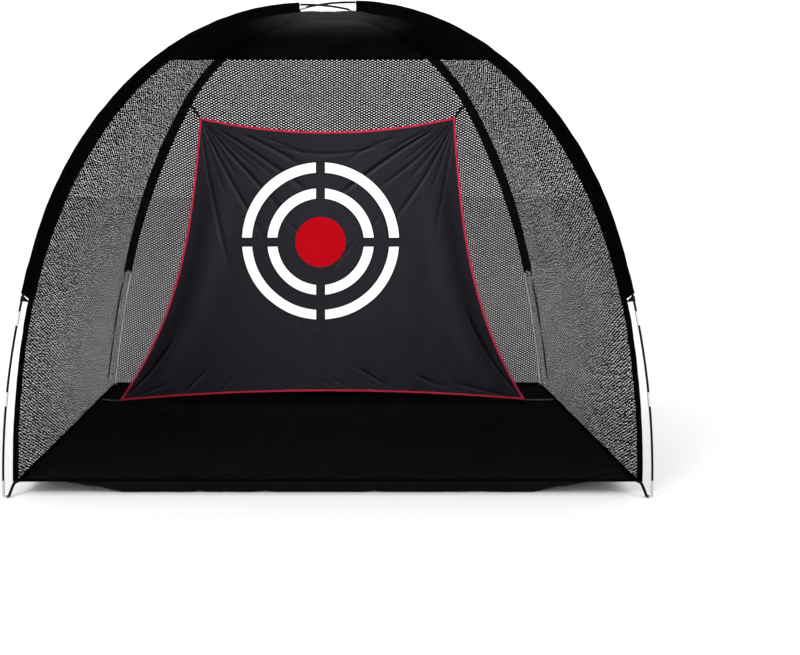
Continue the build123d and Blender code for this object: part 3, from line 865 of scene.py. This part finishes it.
def make_sleeve(corner, paint, seed):
    pole, end = CORNERS[corner]
    tilts = run_of_tilts(
        corner, tilt_at_height(corner, SLEEVE_END[end]), tilt_near_crossing(corner, SLEEVE_STOP), 0.005
    )
    path = pole.line(tilts)
    along = distances(path)
    half = sleeve_profile()
    outline = np.concatenate([half, half[::-1] * (1, -1)])
    section = np.broadcast_to(outline, (len(tilts), *outline.shape)).copy()
    reach = outline[:, 0]
    stretch = (seam_offset(corner, tilts) - SLEEVE_FLAT) / (SEAM_OFFSET - SLEEVE_FLAT)
    section[..., 0] += np.clip(reach - SLEEVE_FLAT, 0, None) * (stretch - 1)[:, None]
    loose = np.clip((SLEEVE_FLAT - reach) / SLEEVE_FLAT, 0, 1) * np.clip((reach + SLEEVE_HALF) / 0.012, 0, 1)
    side = np.sign(outline[:, 1])
    crease = waves(along[:, None] + 0.6 * reach[None], side[None] * 0.4 + reach[None], 0.045, seed)
    section[..., 1] += 0.0016 * crease * loose[None]
    section[..., 0] += 0.0007 * waves(along, along * 0, 0.12, seed + 9)[:, None] * (reach < 0)[None]
    ripple = 0.0006 * waves(along, along * 0, 0.03, seed + 5)[:, None]
    section[..., 1] += ripple * (reach > SLEEVE_FLAT)[None]
    hem = np.exp(-(np.minimum(along, along[-1] - along) / 0.012) ** 4)[:, None]
    section[..., 1] += 0.0007 * hem * side[None] * (reach < SLEEVE_FLAT)[None]
    aside = np.broadcast_to(pole.aside, path.shape)
    points = swept_points(path, pole.inward(tilts), aside, section)
    near_end = np.clip(1 - along / 0.08, 0, 1)[:, None]
    slant = SLEEVE_SLANT * near_end * (reach + SLEEVE_HALF)[None] / (SEAM_OFFSET + SLEEVE_HALF)
    ahead = unit(np.gradient(path, axis=0))[:, None]
    points = (points - slant[..., None] * ahead).reshape(-1, 3)
    uv = spread_uv(along, reach)
    faces = grid_faces(len(tilts), len(outline), wrap=True)
    sleeve = make_mesh(f"pole_sleeve_{corner}", points, faces, paint, uv=uv)
    sleeve.data.flip_normals()
    thicken(sleeve, 0.0008, offset=-1.0)
    stands_for(sleeve, "root", "sleeve_cloth", f"pole_sleeve_{corner}")


def make_edge_band(corner, paint, seed):
    """Tape that edges the net between the floor and the sleeve."""
    pole, end = CORNERS[corner]
    low = tilt_at_height(corner, RIM_HEIGHT[end] + 0.008)
    high = tilt_at_height(corner, SLEEVE_END[end] - 0.014)
    tilts = run_of_tilts(corner, low, high, BAND_STEP)
    inner_edge = seam_offset(corner, tilts)
    outer_edge = np.interp(pole.line(tilts)[:, 2], BAND_HEIGHTS, BAND_OUTER_OFFSETS[end])
    path = pole.line(tilts, (outer_edge + inner_edge) / 2)
    along = np.arange(len(tilts)) * BAND_STEP
    section = ribbon_section(1.0, TAPE_THICK)
    section = np.broadcast_to(section, (len(tilts), *section.shape)).copy()
    section[..., 0] *= (inner_edge - outer_edge + 0.003)[:, None]
    section[..., 1] += 0.0008 * waves(along, along * 0, 0.06, seed)[:, None]
    section[..., 0] += 0.0005 * waves(along, along * 0, 0.09, seed + 1)[:, None]
    aside = np.broadcast_to(pole.aside, path.shape)
    points = swept_points(path, pole.inward(tilts), aside, section).reshape(-1, 3)
    faces = capped_faces(len(tilts), section.shape[1])
    uv = spread_uv(along, section[0, :, 0])
    band = make_mesh(f"edge_band_{corner}", points, faces, paint, uv=uv)
    stands_for(band, "root", "edge_tape", f"edge_band_{corner}")


def make_crown_patch(paint):
    """Doubled patch under the crossing, its corners rounded and its middle drawn up a little."""
    low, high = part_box("crown_patch")
    half_x, half_y = (high[0] - low[0]) / 2, (high[1] - low[1]) / 2
    rings, sides = 14, 64
    turn = np.linspace(0, 2 * math.pi, sides, endpoint=False)
    edge_x = squared(np.cos(turn), 0.5) * half_x
    edge_y = squared(np.sin(turn), 0.5) * half_y
    share = np.linspace(1, 0.02, rings)[:, None]
    x, y = share * edge_x, share * edge_y
    z = high[2] + PATCH_RAISE + 0.004 * (1 - share ** 2) + 0.0008 * waves(x, y, 0.05, 61)
    points = np.stack(np.broadcast_arrays(x, y, z), axis=-1).reshape(-1, 3)
    faces = [tuple(face) for face in grid_faces(rings, sides, wrap=True)]
    faces.append(tuple(range(len(points) - sides, len(points))))
    patch = make_mesh("crown_patch", points, faces, paint, uv=points[:, :2], tone=crown_light(points))
    thicken(patch, 0.003)
    stands_for(patch, "root", "cap_cloth", "crown_patch")


# ---- floor ----

def rim_corner(corner):
    """Where a corner's seam meets the floor's rim."""
    height = RIM_HEIGHT[CORNERS[corner][1]]
    return seam(corner, np.array([tilt_at_height(corner, height, on_seam=True)]))[0]


def tray_height(x, y, front, rear):
    """Height of the tray, and how far out each place is: 0 on the ground, 1 at the rim."""
    ground_x, ground_y = TRAY_GROUND[0] / 2, TRAY_GROUND[1] / 2
    rim_x = np.interp(y, (front[1], rear[1]), (-front[0], -rear[0]))
    rim_z = np.interp(y, (front[1], rear[1]), (front[2], rear[2]))
    aside = np.clip((np.abs(x) - ground_x) / (rim_x - ground_x), 0, 1)
    ahead = np.clip((-y - ground_y) / (-front[1] - ground_y), 0, 1)
    behind = np.clip((y - ground_y) / (rear[1] - ground_y), 0, 1)
    from_corner = np.hypot(rim_x - np.abs(x), np.minimum(y - front[1], rear[1] - y))
    lifted = 1 - smooth_step(from_corner, *TRAY_CORNER_LIFT)
    out = np.maximum(np.maximum(aside, lifted), np.maximum(ahead, behind))
    return out ** 1.15 * rim_z, out


def make_floor(paint):
    front, rear = [rim_corner(corner) for corner in ("front_left", "rear_left")]
    share = np.linspace(-1, 1, round(-2 * front[0] / TRAY_STEP))
    back = np.linspace(front[1], rear[1], round((rear[1] - front[1]) / TRAY_STEP))
    y, share = np.meshgrid(back, share, indexing="ij")
    x = share * np.interp(y, (front[1], rear[1]), (-front[0], -rear[0]))
    z, out = tray_height(x, y, front, rear)
    folds = 1 - np.abs(waves(x, y * 2.2, 0.9, 81))
    fine = 1 - np.abs(waves(x * 1.4, y * 2.5, 0.30, 82))
    z = z + np.clip(folds, 0, 1) ** 6 * 0.006 * (1 - out) + np.clip(fine, 0, 1) ** 8 * 0.0022
    z = z + 0.003 * (1 + waves(x, y, 0.25, 83)) * out * (1 - out) * 4
    points = np.stack([x, y, z + TRAY_LIFT], axis=-1).reshape(-1, 3)
    uv = points[:, :2]
    floor = make_mesh("floor_sheet", points, grid_faces(*x.shape), paint, uv=uv)
    thicken(floor, CLOTH, offset=1.0)
    stands_for(floor, "root", "floor_cloth", "floor_sheet")


def make_front_binding(paint):
    corner_x, front_y, height = rim_corner("front_right")
    count = 180
    x = np.linspace(0.012 - corner_x, corner_x - 0.012, count)
    wobble = waves(x, x * 0, 0.16, 91)
    z = height + 0.006 + 0.0015 * wobble
    path = np.stack([x, np.full(count, front_y + 0.004) + 0.0012 * waves(x, x * 0, 0.22, 92), z], axis=1)
    binding = make_strap("front_edge_binding", path, ribbon_section(0.010, 0.004), paint)
    stands_for(binding, "root", "edge_tape", "front_edge_binding")


# ---- target ----

def hanging_plane():
    """Origin on the ground and the upward and frontward directions of the target's plane."""
    joint = next(j for j in frame["joints"] if j["name"] == "target_swing")
    hinge = joint["pos_m"]
    loop_low, loop_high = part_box("lower_tie_loops")
    lower = np.array([0.0, (loop_low[1] + loop_high[1]) / 2, (loop_low[2] + loop_high[2]) / 2])
    up = unit(np.array([0.0, hinge[1] - lower[1], hinge[2] - lower[2]]))
    ground = lower - up * (lower[2] / up[2])
    return ground, up, np.cross([1.0, 0, 0], up)


GROUND, SHEET_UP, SHEET_FRONT = hanging_plane()


def on_sheet(x, v, out=0.0):
    """Place in space of a point of the target's plane, moved out towards the front."""
    x, v, out = np.broadcast_arrays(x, v, out)
    level = x[..., None] * np.array([1.0, 0, 0])
    return GROUND + level + v[..., None] * SHEET_UP + out[..., None] * SHEET_FRONT


def bowed_edge(start, stop, bow, share, low=0.0):
    """Hollow edge between two corners; low moves the deepest point towards the second one."""
    start, stop, bow = np.array(start), np.array(stop), np.array(bow)
    depth = 4 * share * (1 - share) * (1 + low * (2 * share - 1))
    return start + (stop - start) * share[:, None] + bow * depth[:, None]


def crowded_ends(count):
    """Shares from 0 to 1 that lie closer together near both ends."""
    even = np.linspace(0, 1, count)
    return 0.5 * even + 0.25 * (1 - np.cos(math.pi * even))


def sheet_grid():
    """Points of the sheet in its own plane, row by row from the top edge down."""
    rows, columns = SHEET_STEPS
    s = crowded_ends(columns)
    t = crowded_ends(rows)
    ul, ur, lr, ll = [np.array(place) for place in SHEET_CORNERS.values()]
    top = bowed_edge(ul, ur, (0, -SHEET_TOP_SAG), s)
    bottom = bowed_edge(ll, lr, (0, SHEET_BOTTOM_RISE), s)
    left = bowed_edge(ul, ll, (SHEET_LEFT_WAIST, 0), t, WAIST_LOW)
    right = bowed_edge(ur, lr, (-SHEET_RIGHT_WAIST, 0), t, WAIST_LOW)
    s, t = s[None, :, None], t[:, None, None]
    ruled = (1 - t) * top[None] + t * bottom[None] + (1 - s) * left[:, None] + s * right[:, None]
    corners = (1 - s) * (1 - t) * ul + s * (1 - t) * ur + s * t * lr + (1 - s) * t * ll
    return ruled - corners


# Creases of the sheet: where each starts, its direction and turn in degrees and degrees a metre,
# how far from its start it runs, from and to, and its strength
CREASES = [
    (-0.689, 1.630, -83, 4, 0.08, 0.95, 0.7),
    (-0.689, 1.630, -74, 5, 0.10, 0.50, 0.4),
    (-0.689, 1.630, -66, 6, 0.05, 0.80, 1.0),
    (-0.689, 1.630, -58, 3, 0.05, 0.42, 0.6),
    (-0.689, 1.630, -50, 4, 0.04, 0.74, 1.1),
    (-0.689, 1.630, -43, 3, 0.08, 0.46, 0.7),
    (-0.689, 1.630, -38, 1, 0.12, 0.60, 0.5),
    (-0.689, 1.630, -30, -5, 0.12, 0.80, 1.0),
    (-0.689, 1.630, -17, -12, 0.25, 0.66, 0.9),
    (-0.420, 1.545, -12, -22, 0.06, 0.34, 0.6),
    (-0.330, 1.500, -20, 30, 0.05, 0.42, 0.6),
    (0.685, 1.632, -97, -3, 0.10, 0.70, 0.5),
    (0.685, 1.632, -105, -6, 0.06, 0.48, 0.5),
    (0.685, 1.632, -112, -14, 0.05, 0.72, 0.9),
    (0.685, 1.632, -121, -14, 0.06, 0.46, 0.6),
    (0.685, 1.632, -128, -18, 0.05, 0.62, 0.8),
    (0.685, 1.632, -138, -6, 0.12, 0.40, 0.5),
    (0.685, 1.632, -152, 7, 0.14, 0.84, 1.3),
    (0.685, 1.632, -159, 14, 0.16, 0.44, 0.7),
    (0.430, 1.545, -168, 30, 0.06, 0.40, 0.7),
    (0.330, 1.500, -160, -32, 0.04, 0.44, 0.6),
    (-1.190, 0.054, 38, 22, 0.06, 0.55, 0.9),
    (-1.190, 0.054, 18, 6, 0.10, 0.34, 0.5),
    (-0.814, 0.110, 45, 0, 0.00, 0.19, 1.0),
    (-0.604, 0.114, 53, 0, 0.00, 0.13, 0.8),
    (-0.219, 0.127, 149, 0, 0.00, 0.09, 0.6),
    (-0.080, 0.140, 147, 0, 0.00, 0.09, 0.6),
    (0.027, 0.136, 145, 0, 0.00, 0.09, 0.7),
    (0.124, 0.136, 151, 0, 0.00, 0.11, 0.8),
    (0.334, 0.149, 149, 0, 0.00, 0.23, 1.2),
    (0.622, 0.140, 148, 0, 0.00, 0.17, 1.0),
    (0.700, 0.130, 160, 0, 0.00, 0.24, 0.6),
    (1.126, 0.060, 136, -20, 0.08, 0.70, 0.8),
    (1.126, 0.060, 166, 0, 0.12, 0.46, 0.7),
    (-0.158, 0.495, -52, 0, 0.00, 0.07, 0.7),
    (-0.062, 0.495, -50, 0, 0.00, 0.07, 0.7),
    (-0.310, 1.188, -45, 0, 0.00, 0.07, 0.8),
    (-0.227, 1.079, -40, 0, 0.00, 0.11, 0.8),
    (0.280, 1.105, -120, 0, 0.00, 0.07, 0.7),
    (0.149, 0.970, -128, 0, 0.00, 0.24, 0.6),
]
CREASE_WIDTH = 0.0048
CREASE_SPREAD = 0.008
CREASE_DEPTH = 0.007
CREASE_SHADE = 1.15
CREASE_LIGHT = 1.0


def smooth_step(value, low, high):
    share = np.clip((value - low) / (high - low), 0, 1)
    return share * share * (3 - 2 * share)


def creases(x, v):
    """Sharp tension creases: valleys below 0, each with a ridge above 0 beside it."""
    total = np.zeros_like(x)
    for start_x, start_v, lean, turn, first, last, strength in CREASES:
        away = np.hypot(x - start_x, v - start_v)
        angle = np.degrees(np.arctan2(v - start_v, x - start_x))
        swing = (angle - lean - turn * away + 180) % 360 - 180
        width = CREASE_WIDTH + CREASE_SPREAD * away
        off = away * np.radians(np.clip(swing, -60, 60)) / width
        soft_end = 0.4 * (last - first)
        run = smooth_step(away, first - 0.02, first + 0.04) * smooth_step(last - away, 0, soft_end)
        side = 1 if lean < -90 or lean > 90 else -1
        total += strength * run * (0.75 * np.exp(-(off - 1.7 * side) ** 2) - np.exp(-off ** 2))
    return np.clip(total, -1.4, 1.0)


def side_folds(s, t, width):
    """Broad folds down the sheet's two sides, deepest a hand's breadth from the edge; through the tone
    attribute they also paint shade along the valley and a highlight along the ridge.
    """
    inset = np.minimum(s, 1 - s) * width
    depth = smooth_step(t, 0.08, 0.35) * smooth_step(1 - t, 0.02, 0.20)
    # ridge: the fold's raised band, also a painted highlight; valley: its sunk band, also painted shade
    ridge = 0.15 * np.exp(-((inset - 0.19) / 0.05) ** 2)
    valley = 0.55 * np.exp(-((inset - 0.075) / 0.045) ** 2)
    return depth * (ridge - valley)


def soft_relief(x, v):
    """Long soft swells of hung cloth, in metres, with shorter ones above the lower edge."""
    relief = 0.0045 * waves(x * 1.6, v * 0.35, 0.42, 101) + 0.0016 * waves(x, v, 0.16, 102)
    low = np.exp(-((v - 0.12) / 0.16) ** 2)
    return relief + 0.0035 * low * waves(x * 1.8, v * 0.5, 0.16, 103)


def make_target(front, back, red):
    flat = sheet_grid()
    x, v = flat[..., 0], flat[..., 1]
    rows, columns = x.shape
    s, t = np.meshgrid(crowded_ends(columns), crowded_ends(rows))
    middle = np.sin(math.pi * s) * np.sin(math.pi * t)
    hold = np.clip(np.minimum(np.minimum(s, 1 - s), np.minimum(t, 1 - t)) / 0.04, 0.25, 1)
    sharp = creases(x, v)
    folds = side_folds(s, t, (x[:, -1] - x[:, 0])[:, None])
    out = (CREASE_DEPTH * sharp + 0.006 * folds + soft_relief(x, v)) * hold - 0.012 * middle
    points = on_sheet(x, v, out)
    # tone paints shade into the colour along crease and fold valleys and a highlight along their ridges
    tone = np.where(sharp < 0, CREASE_SHADE, CREASE_LIGHT) * sharp + folds
    faces = grid_faces(rows, columns)[:, ::-1]
    uv = flat.reshape(-1, 2)
    sheet = make_mesh("target_sheet", points.reshape(-1, 3), faces, front, back, uv=uv, tone=tone)
    thicken(sheet, CLOTH)
    stands_for(sheet, "target", "target_cloth", "target_sheet")
    edge = np.concatenate([points[0, :-1], points[:-1, -1], points[-1, :0:-1], points[:0:-1, 0]])
    piping = make_piping(edge, red)


def make_piping(edge, red):
    """Folded red binding along the sheet's edge, a little puckered."""
    ahead = unit(np.roll(edge, -1, axis=0) - np.roll(edge, 1, axis=0))
    outward = unit(np.cross(SHEET_FRONT, ahead)) * -1
    out = np.broadcast_to(SHEET_FRONT, edge.shape)
    turn = np.linspace(0, 2 * math.pi, 14, endpoint=False)
    wide = squared(np.cos(turn), 0.7) * PIPING_WIDTH / 2
    thick = np.sin(turn) * PIPING_THICK / 2
    section = np.stack([wide + PIPING_WIDTH / 2 - 0.0015, thick], axis=1)
    along = distances(edge)
    pucker = 1 + 0.07 * waves(along, along * 0, 0.03, 111)[:, None, None]
    points = swept_points(edge, outward, out, section[None] * pucker).reshape(-1, 3)
    faces = looped_faces(len(edge), len(section))
    piping = make_mesh("target_piping", points, faces, red, uv=spread_uv(along, section[:, 0]))
    return stands_for(piping, "target", "target_binding", "target_piping")


def knot_points(place, ahead, size):
    """An overhand knot's closed loop round a place on a cord."""
    turn = np.linspace(0, 2 * math.pi, 60)
    x = np.sin(turn) + 2 * np.sin(2 * turn)
    y = np.cos(turn) - 2 * np.cos(2 * turn)
    z = -np.sin(3 * turn) * 1.5
    ahead = unit(ahead)
    first = unit(np.cross(ahead, SHEET_FRONT))
    return place + (x[:, None] * ahead + y[:, None] * first + z[:, None] * SHEET_FRONT) * size


def level_of(corner):
    return corner.split("_")[0]


def tie_hook(corner):
    """Where a tie is held: just inside the rear seam, or beside the floor."""
    side = -1 if corner.endswith("left") else 1
    if corner.startswith("lower"):
        return np.array(LOWER_HOOK) * (side, 1, 1)
    rear = f"rear_{corner.split('_')[1]}"
    tilt = np.array([tilt_at_height(rear, UPPER_HOOK_HEIGHT, on_seam=True)])
    return seam(rear, tilt)[0] + CORNERS[rear][0].inward(tilt)[0] * UPPER_HOOK_INSET * (1, 1, 0)


def make_tie(corner, cord):
    """Elastic tie, doubled through the sheet's tab, from there to its loop on the net, and its knot."""
    start = on_sheet(*SHEET_CORNERS[corner])
    stop = tie_hook(corner)
    diameter = TIE_OD[level_of(corner)]
    pull = unit(stop - start)
    aside = unit(np.cross(pull, SHEET_FRONT))
    first = start + pull * (TAB_TO - 0.006)
    length = np.linalg.norm(stop - first)
    strands = []
    for label, side in (("tie", 1), ("tie_return", -1)):
        offset = aside * side * diameter * 0.56
        bow = -UP * length * 0.012
        middle = (first + stop) / 2 + offset + bow
        path = smooth_path([first, first + offset + pull * 0.012, middle, stop + offset * 0.6], 0.003)
        strand = make_strap(f"{label}_{corner}", path, round_section(diameter), cord, SHEET_FRONT)
        strands.append((strand, path))
    loop = knot_points(first + pull * length * 0.5 + aside * 0.001, pull, 0.0018)
    knot = make_strap(f"tie_knot_{corner}", loop, round_section(diameter * 0.8), cord, SHEET_FRONT)
    (tie, path), (back_strand, _) = strands
    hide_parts(f"tie_{corner}")
    for piece in (tie, back_strand, knot):
        if corner.startswith("upper"):
            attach(piece, "target")
        else:
            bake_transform(piece)


def make_tab(corner, paint):
    """Webbing loop sewn to the sheet's corner, folded over the tie."""
    start = on_sheet(*SHEET_CORNERS[corner])
    pull = unit(tie_hook(corner) - start)
    bulge = SHEET_FRONT * 0.0042
    near = start + pull * (TAB_FROM - 0.006)
    far = start + pull * TAB_TO
    route = [
        near + bulge * 0.3,
        near + pull * 0.008 + bulge * 0.6,
        far - pull * 0.008 + bulge,
        far + pull * 0.002,
        far - pull * 0.008 - bulge,
        near + pull * 0.008 - bulge * 0.6,
        near - bulge * 0.3,
    ]
    aside = unit(np.cross(pull, SHEET_FRONT))
    section = ribbon_section(TAB_WIDTH[level_of(corner)], 0.0014)
    tab = make_strap(f"target_tab_{corner}", smooth_path(route, 0.0015), section, paint, aside)
    stands_for(tab, "target", "webbing", "target_corner_tabs")


def make_tie_loop(corner, paint):
    """Small webbing loop on the net's seam, which holds a tie."""
    hook = tie_hook(corner)
    if corner.startswith("upper"):
        rear = "rear_left" if corner.endswith("left") else "rear_right"
        root = seam(rear, np.array([tilt_at_height(rear, hook[2], on_seam=True)]))[0]
        width_way = UP
    else:
        root = hook + np.array([math.copysign(LOOP_LENGTH, hook[0]), 0, 0])
        width_way = np.array([0, 1.0, 0])
    out = unit(hook - root)
    spread = unit(np.cross(out, width_way)) * 0.0045
    tip = hook + out * 0.004
    middle = (root + hook) / 2
    route = [
        root + spread * 0.3,
        middle + spread,
        tip + spread,
        tip - spread,
        middle - spread,
        root - spread * 0.3,
    ]
    path = smooth_path(route, 0.0015)
    loop = make_strap(f"tie_loop_{corner}", path, ribbon_section(WEBBING_WIDTH, 0.0012), paint, width_way)
    stands_for(loop, "root", "webbing", f"{level_of(corner)}_tie_loops")


def make_corner_webbing(corner, paint):
    """Slack strap from the floor's corner to the foot ring, and the end that loops round the ring."""
    pole, end = CORNERS[corner]
    tilt = np.array([tilt_at_height(corner, RIM_HEIGHT[end] + STRAP_ABOVE_RIM)])
    top = pole.line(tilt, BAND_OUTER_OFFSETS[end][0] + STRAP_INSET)[0]
    low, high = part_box(f"foot_ring_{corner}")
    centre = (np.array(low) + np.array(high)) / 2
    level = unit((top - centre) * (1, 1, 0))
    ring = centre + level * RING_RADIUS * math.cos(RING_DROOP) - UP * RING_RADIUS * math.sin(RING_DROOP)
    across = np.cross(level, UP)
    gap = level * 0.0032
    strap_end = ring + gap * 2.2
    bend = (top + strap_end) / 2
    rim = rim_corner(corner) + UP * STRAP_RAISE
    strap_path = smooth_path([rim, top - UP * STRAP_DROP, bend, strap_end], 0.0015)
    loop_path = smooth_path(
        [strap_end, ring + gap + UP * 0.0030, ring - gap + UP * 0.0030, ring - gap * 1.1 - UP * 0.0030,
         ring + gap - UP * 0.0034, strap_end - UP * 0.0016], 0.0010,
    )
    strap_section = ribbon_section(STRAP_WIDTH, STRAP_THICK)
    loop_section = ribbon_section(WEBBING_WIDTH, 0.0013)
    strap = make_strap(f"corner_strap_{corner}", strap_path, strap_section, paint, across)
    loop = make_strap(f"corner_loop_{corner}", loop_path, loop_section, paint, across)
    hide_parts(f"corner_webbing_{corner}")
    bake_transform(strap)
    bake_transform(loop)


# ---- everything ----

def paint_nodes(paints):
    """Gives the CAD parts that stay in view their finished materials."""
    for name, node in frame["nodes"].items():
        for key, paint in paints.items():
            if key in name and not name.startswith("pole_sleeve"):
                node.data.materials.clear()
                node.data.materials.append(paint.material)


make_camera()
make_studio()

steel = metal_paint("foot_steel", (0.62, 0.62, 0.63), 0.34)
paint_nodes({
    "_sections": pole_paint(),
    "crown_section": pole_paint(),
    "ferrules": metal_paint("ferrule_metal", (0.74, 0.74, 0.75), 0.30),
    "shock_cord": webbing_paint("shock_cord", (0.02, 0.02, 0.02), 0.0015),
    "pole_tip": steel,
    "foot_pin": steel,
    "foot_ring": steel,
    "pole_clip": plastic_paint(),
})

net_strands = net_paint()
SEWN_LINES = (0.0285, 0.0445, 0.0485)
sleeve_cloth = cloth_paint("sleeve_cloth", (0.0010, 0.0010, 0.0010), specular=0.0, lines=SEWN_LINES)
edge_tape = webbing_paint("edge_tape", (0.0010, 0.0010, 0.0010), specular=0.0)
pale_tape = webbing_paint("pale_edge_tape", (0.62, 0.62, 0.62), specular=0.1)
# pale: the painted light that crown_light spreads near the crown's front edge
cap_cloth = cloth_paint("cap_cloth", (0.0032, 0.0028, 0.0031), specular=0.0, pale=(0.098, 0.094, 0.096))
walls = {name: Wall(name, RIM_HEIGHT, CAP_EDGE) for name in WALL_CORNERS}
caps = {name: Wall(name, CAP_EDGE, None) for name in WALL_CORNERS}
for name in WALL_CORNERS:
    make_net(walls[name], net_strands)
    make_cap(caps[name], cap_cloth)
    make_tape_on_wall(f"cap_hem_{name}", walls[name], 0.9975, 0.0, 0.018, edge_tape)
    make_tape_on_wall(f"floor_seam_{name}", walls[name], 0.004, 0.0, 0.016, edge_tape)
for number, corner in enumerate(CORNERS):
    make_sleeve(corner, sleeve_cloth, 200 + number)
    band_tape = edge_tape if CORNERS[corner][1] == "front" else pale_tape
    make_edge_band(corner, band_tape, 220 + number)
make_crown_patch(cap_cloth)

floor_cloth = cloth_paint("floor_cloth", (0.0030, 0.0030, 0.0030), specular=0.02)
make_floor(floor_cloth)
make_front_binding(edge_tape)

target_front = target_paint(True)
target_back = target_paint(False)
piping_red = webbing_paint("target_binding", (0.37, 0.018, 0.046))
make_target(target_front, target_back, piping_red)

tie_cord = webbing_paint("tie_cord", (0.004, 0.004, 0.004), 0.0016)
grey_cord = webbing_paint("grey_tie_cord", (0.070, 0.070, 0.070), 0.0016)
webbing = webbing_paint("webbing", (0.005, 0.005, 0.005))
grey_webbing = webbing_paint("grey_webbing", (0.045, 0.045, 0.045))
for corner in SHEET_CORNERS:
    make_tie(corner, tie_cord if corner.startswith("upper") else grey_cord)
    make_tab(corner, webbing if corner.startswith("upper") else grey_webbing)
    make_tie_loop(corner, webbing)
for corner in CORNERS:
    make_corner_webbing(corner, webbing)
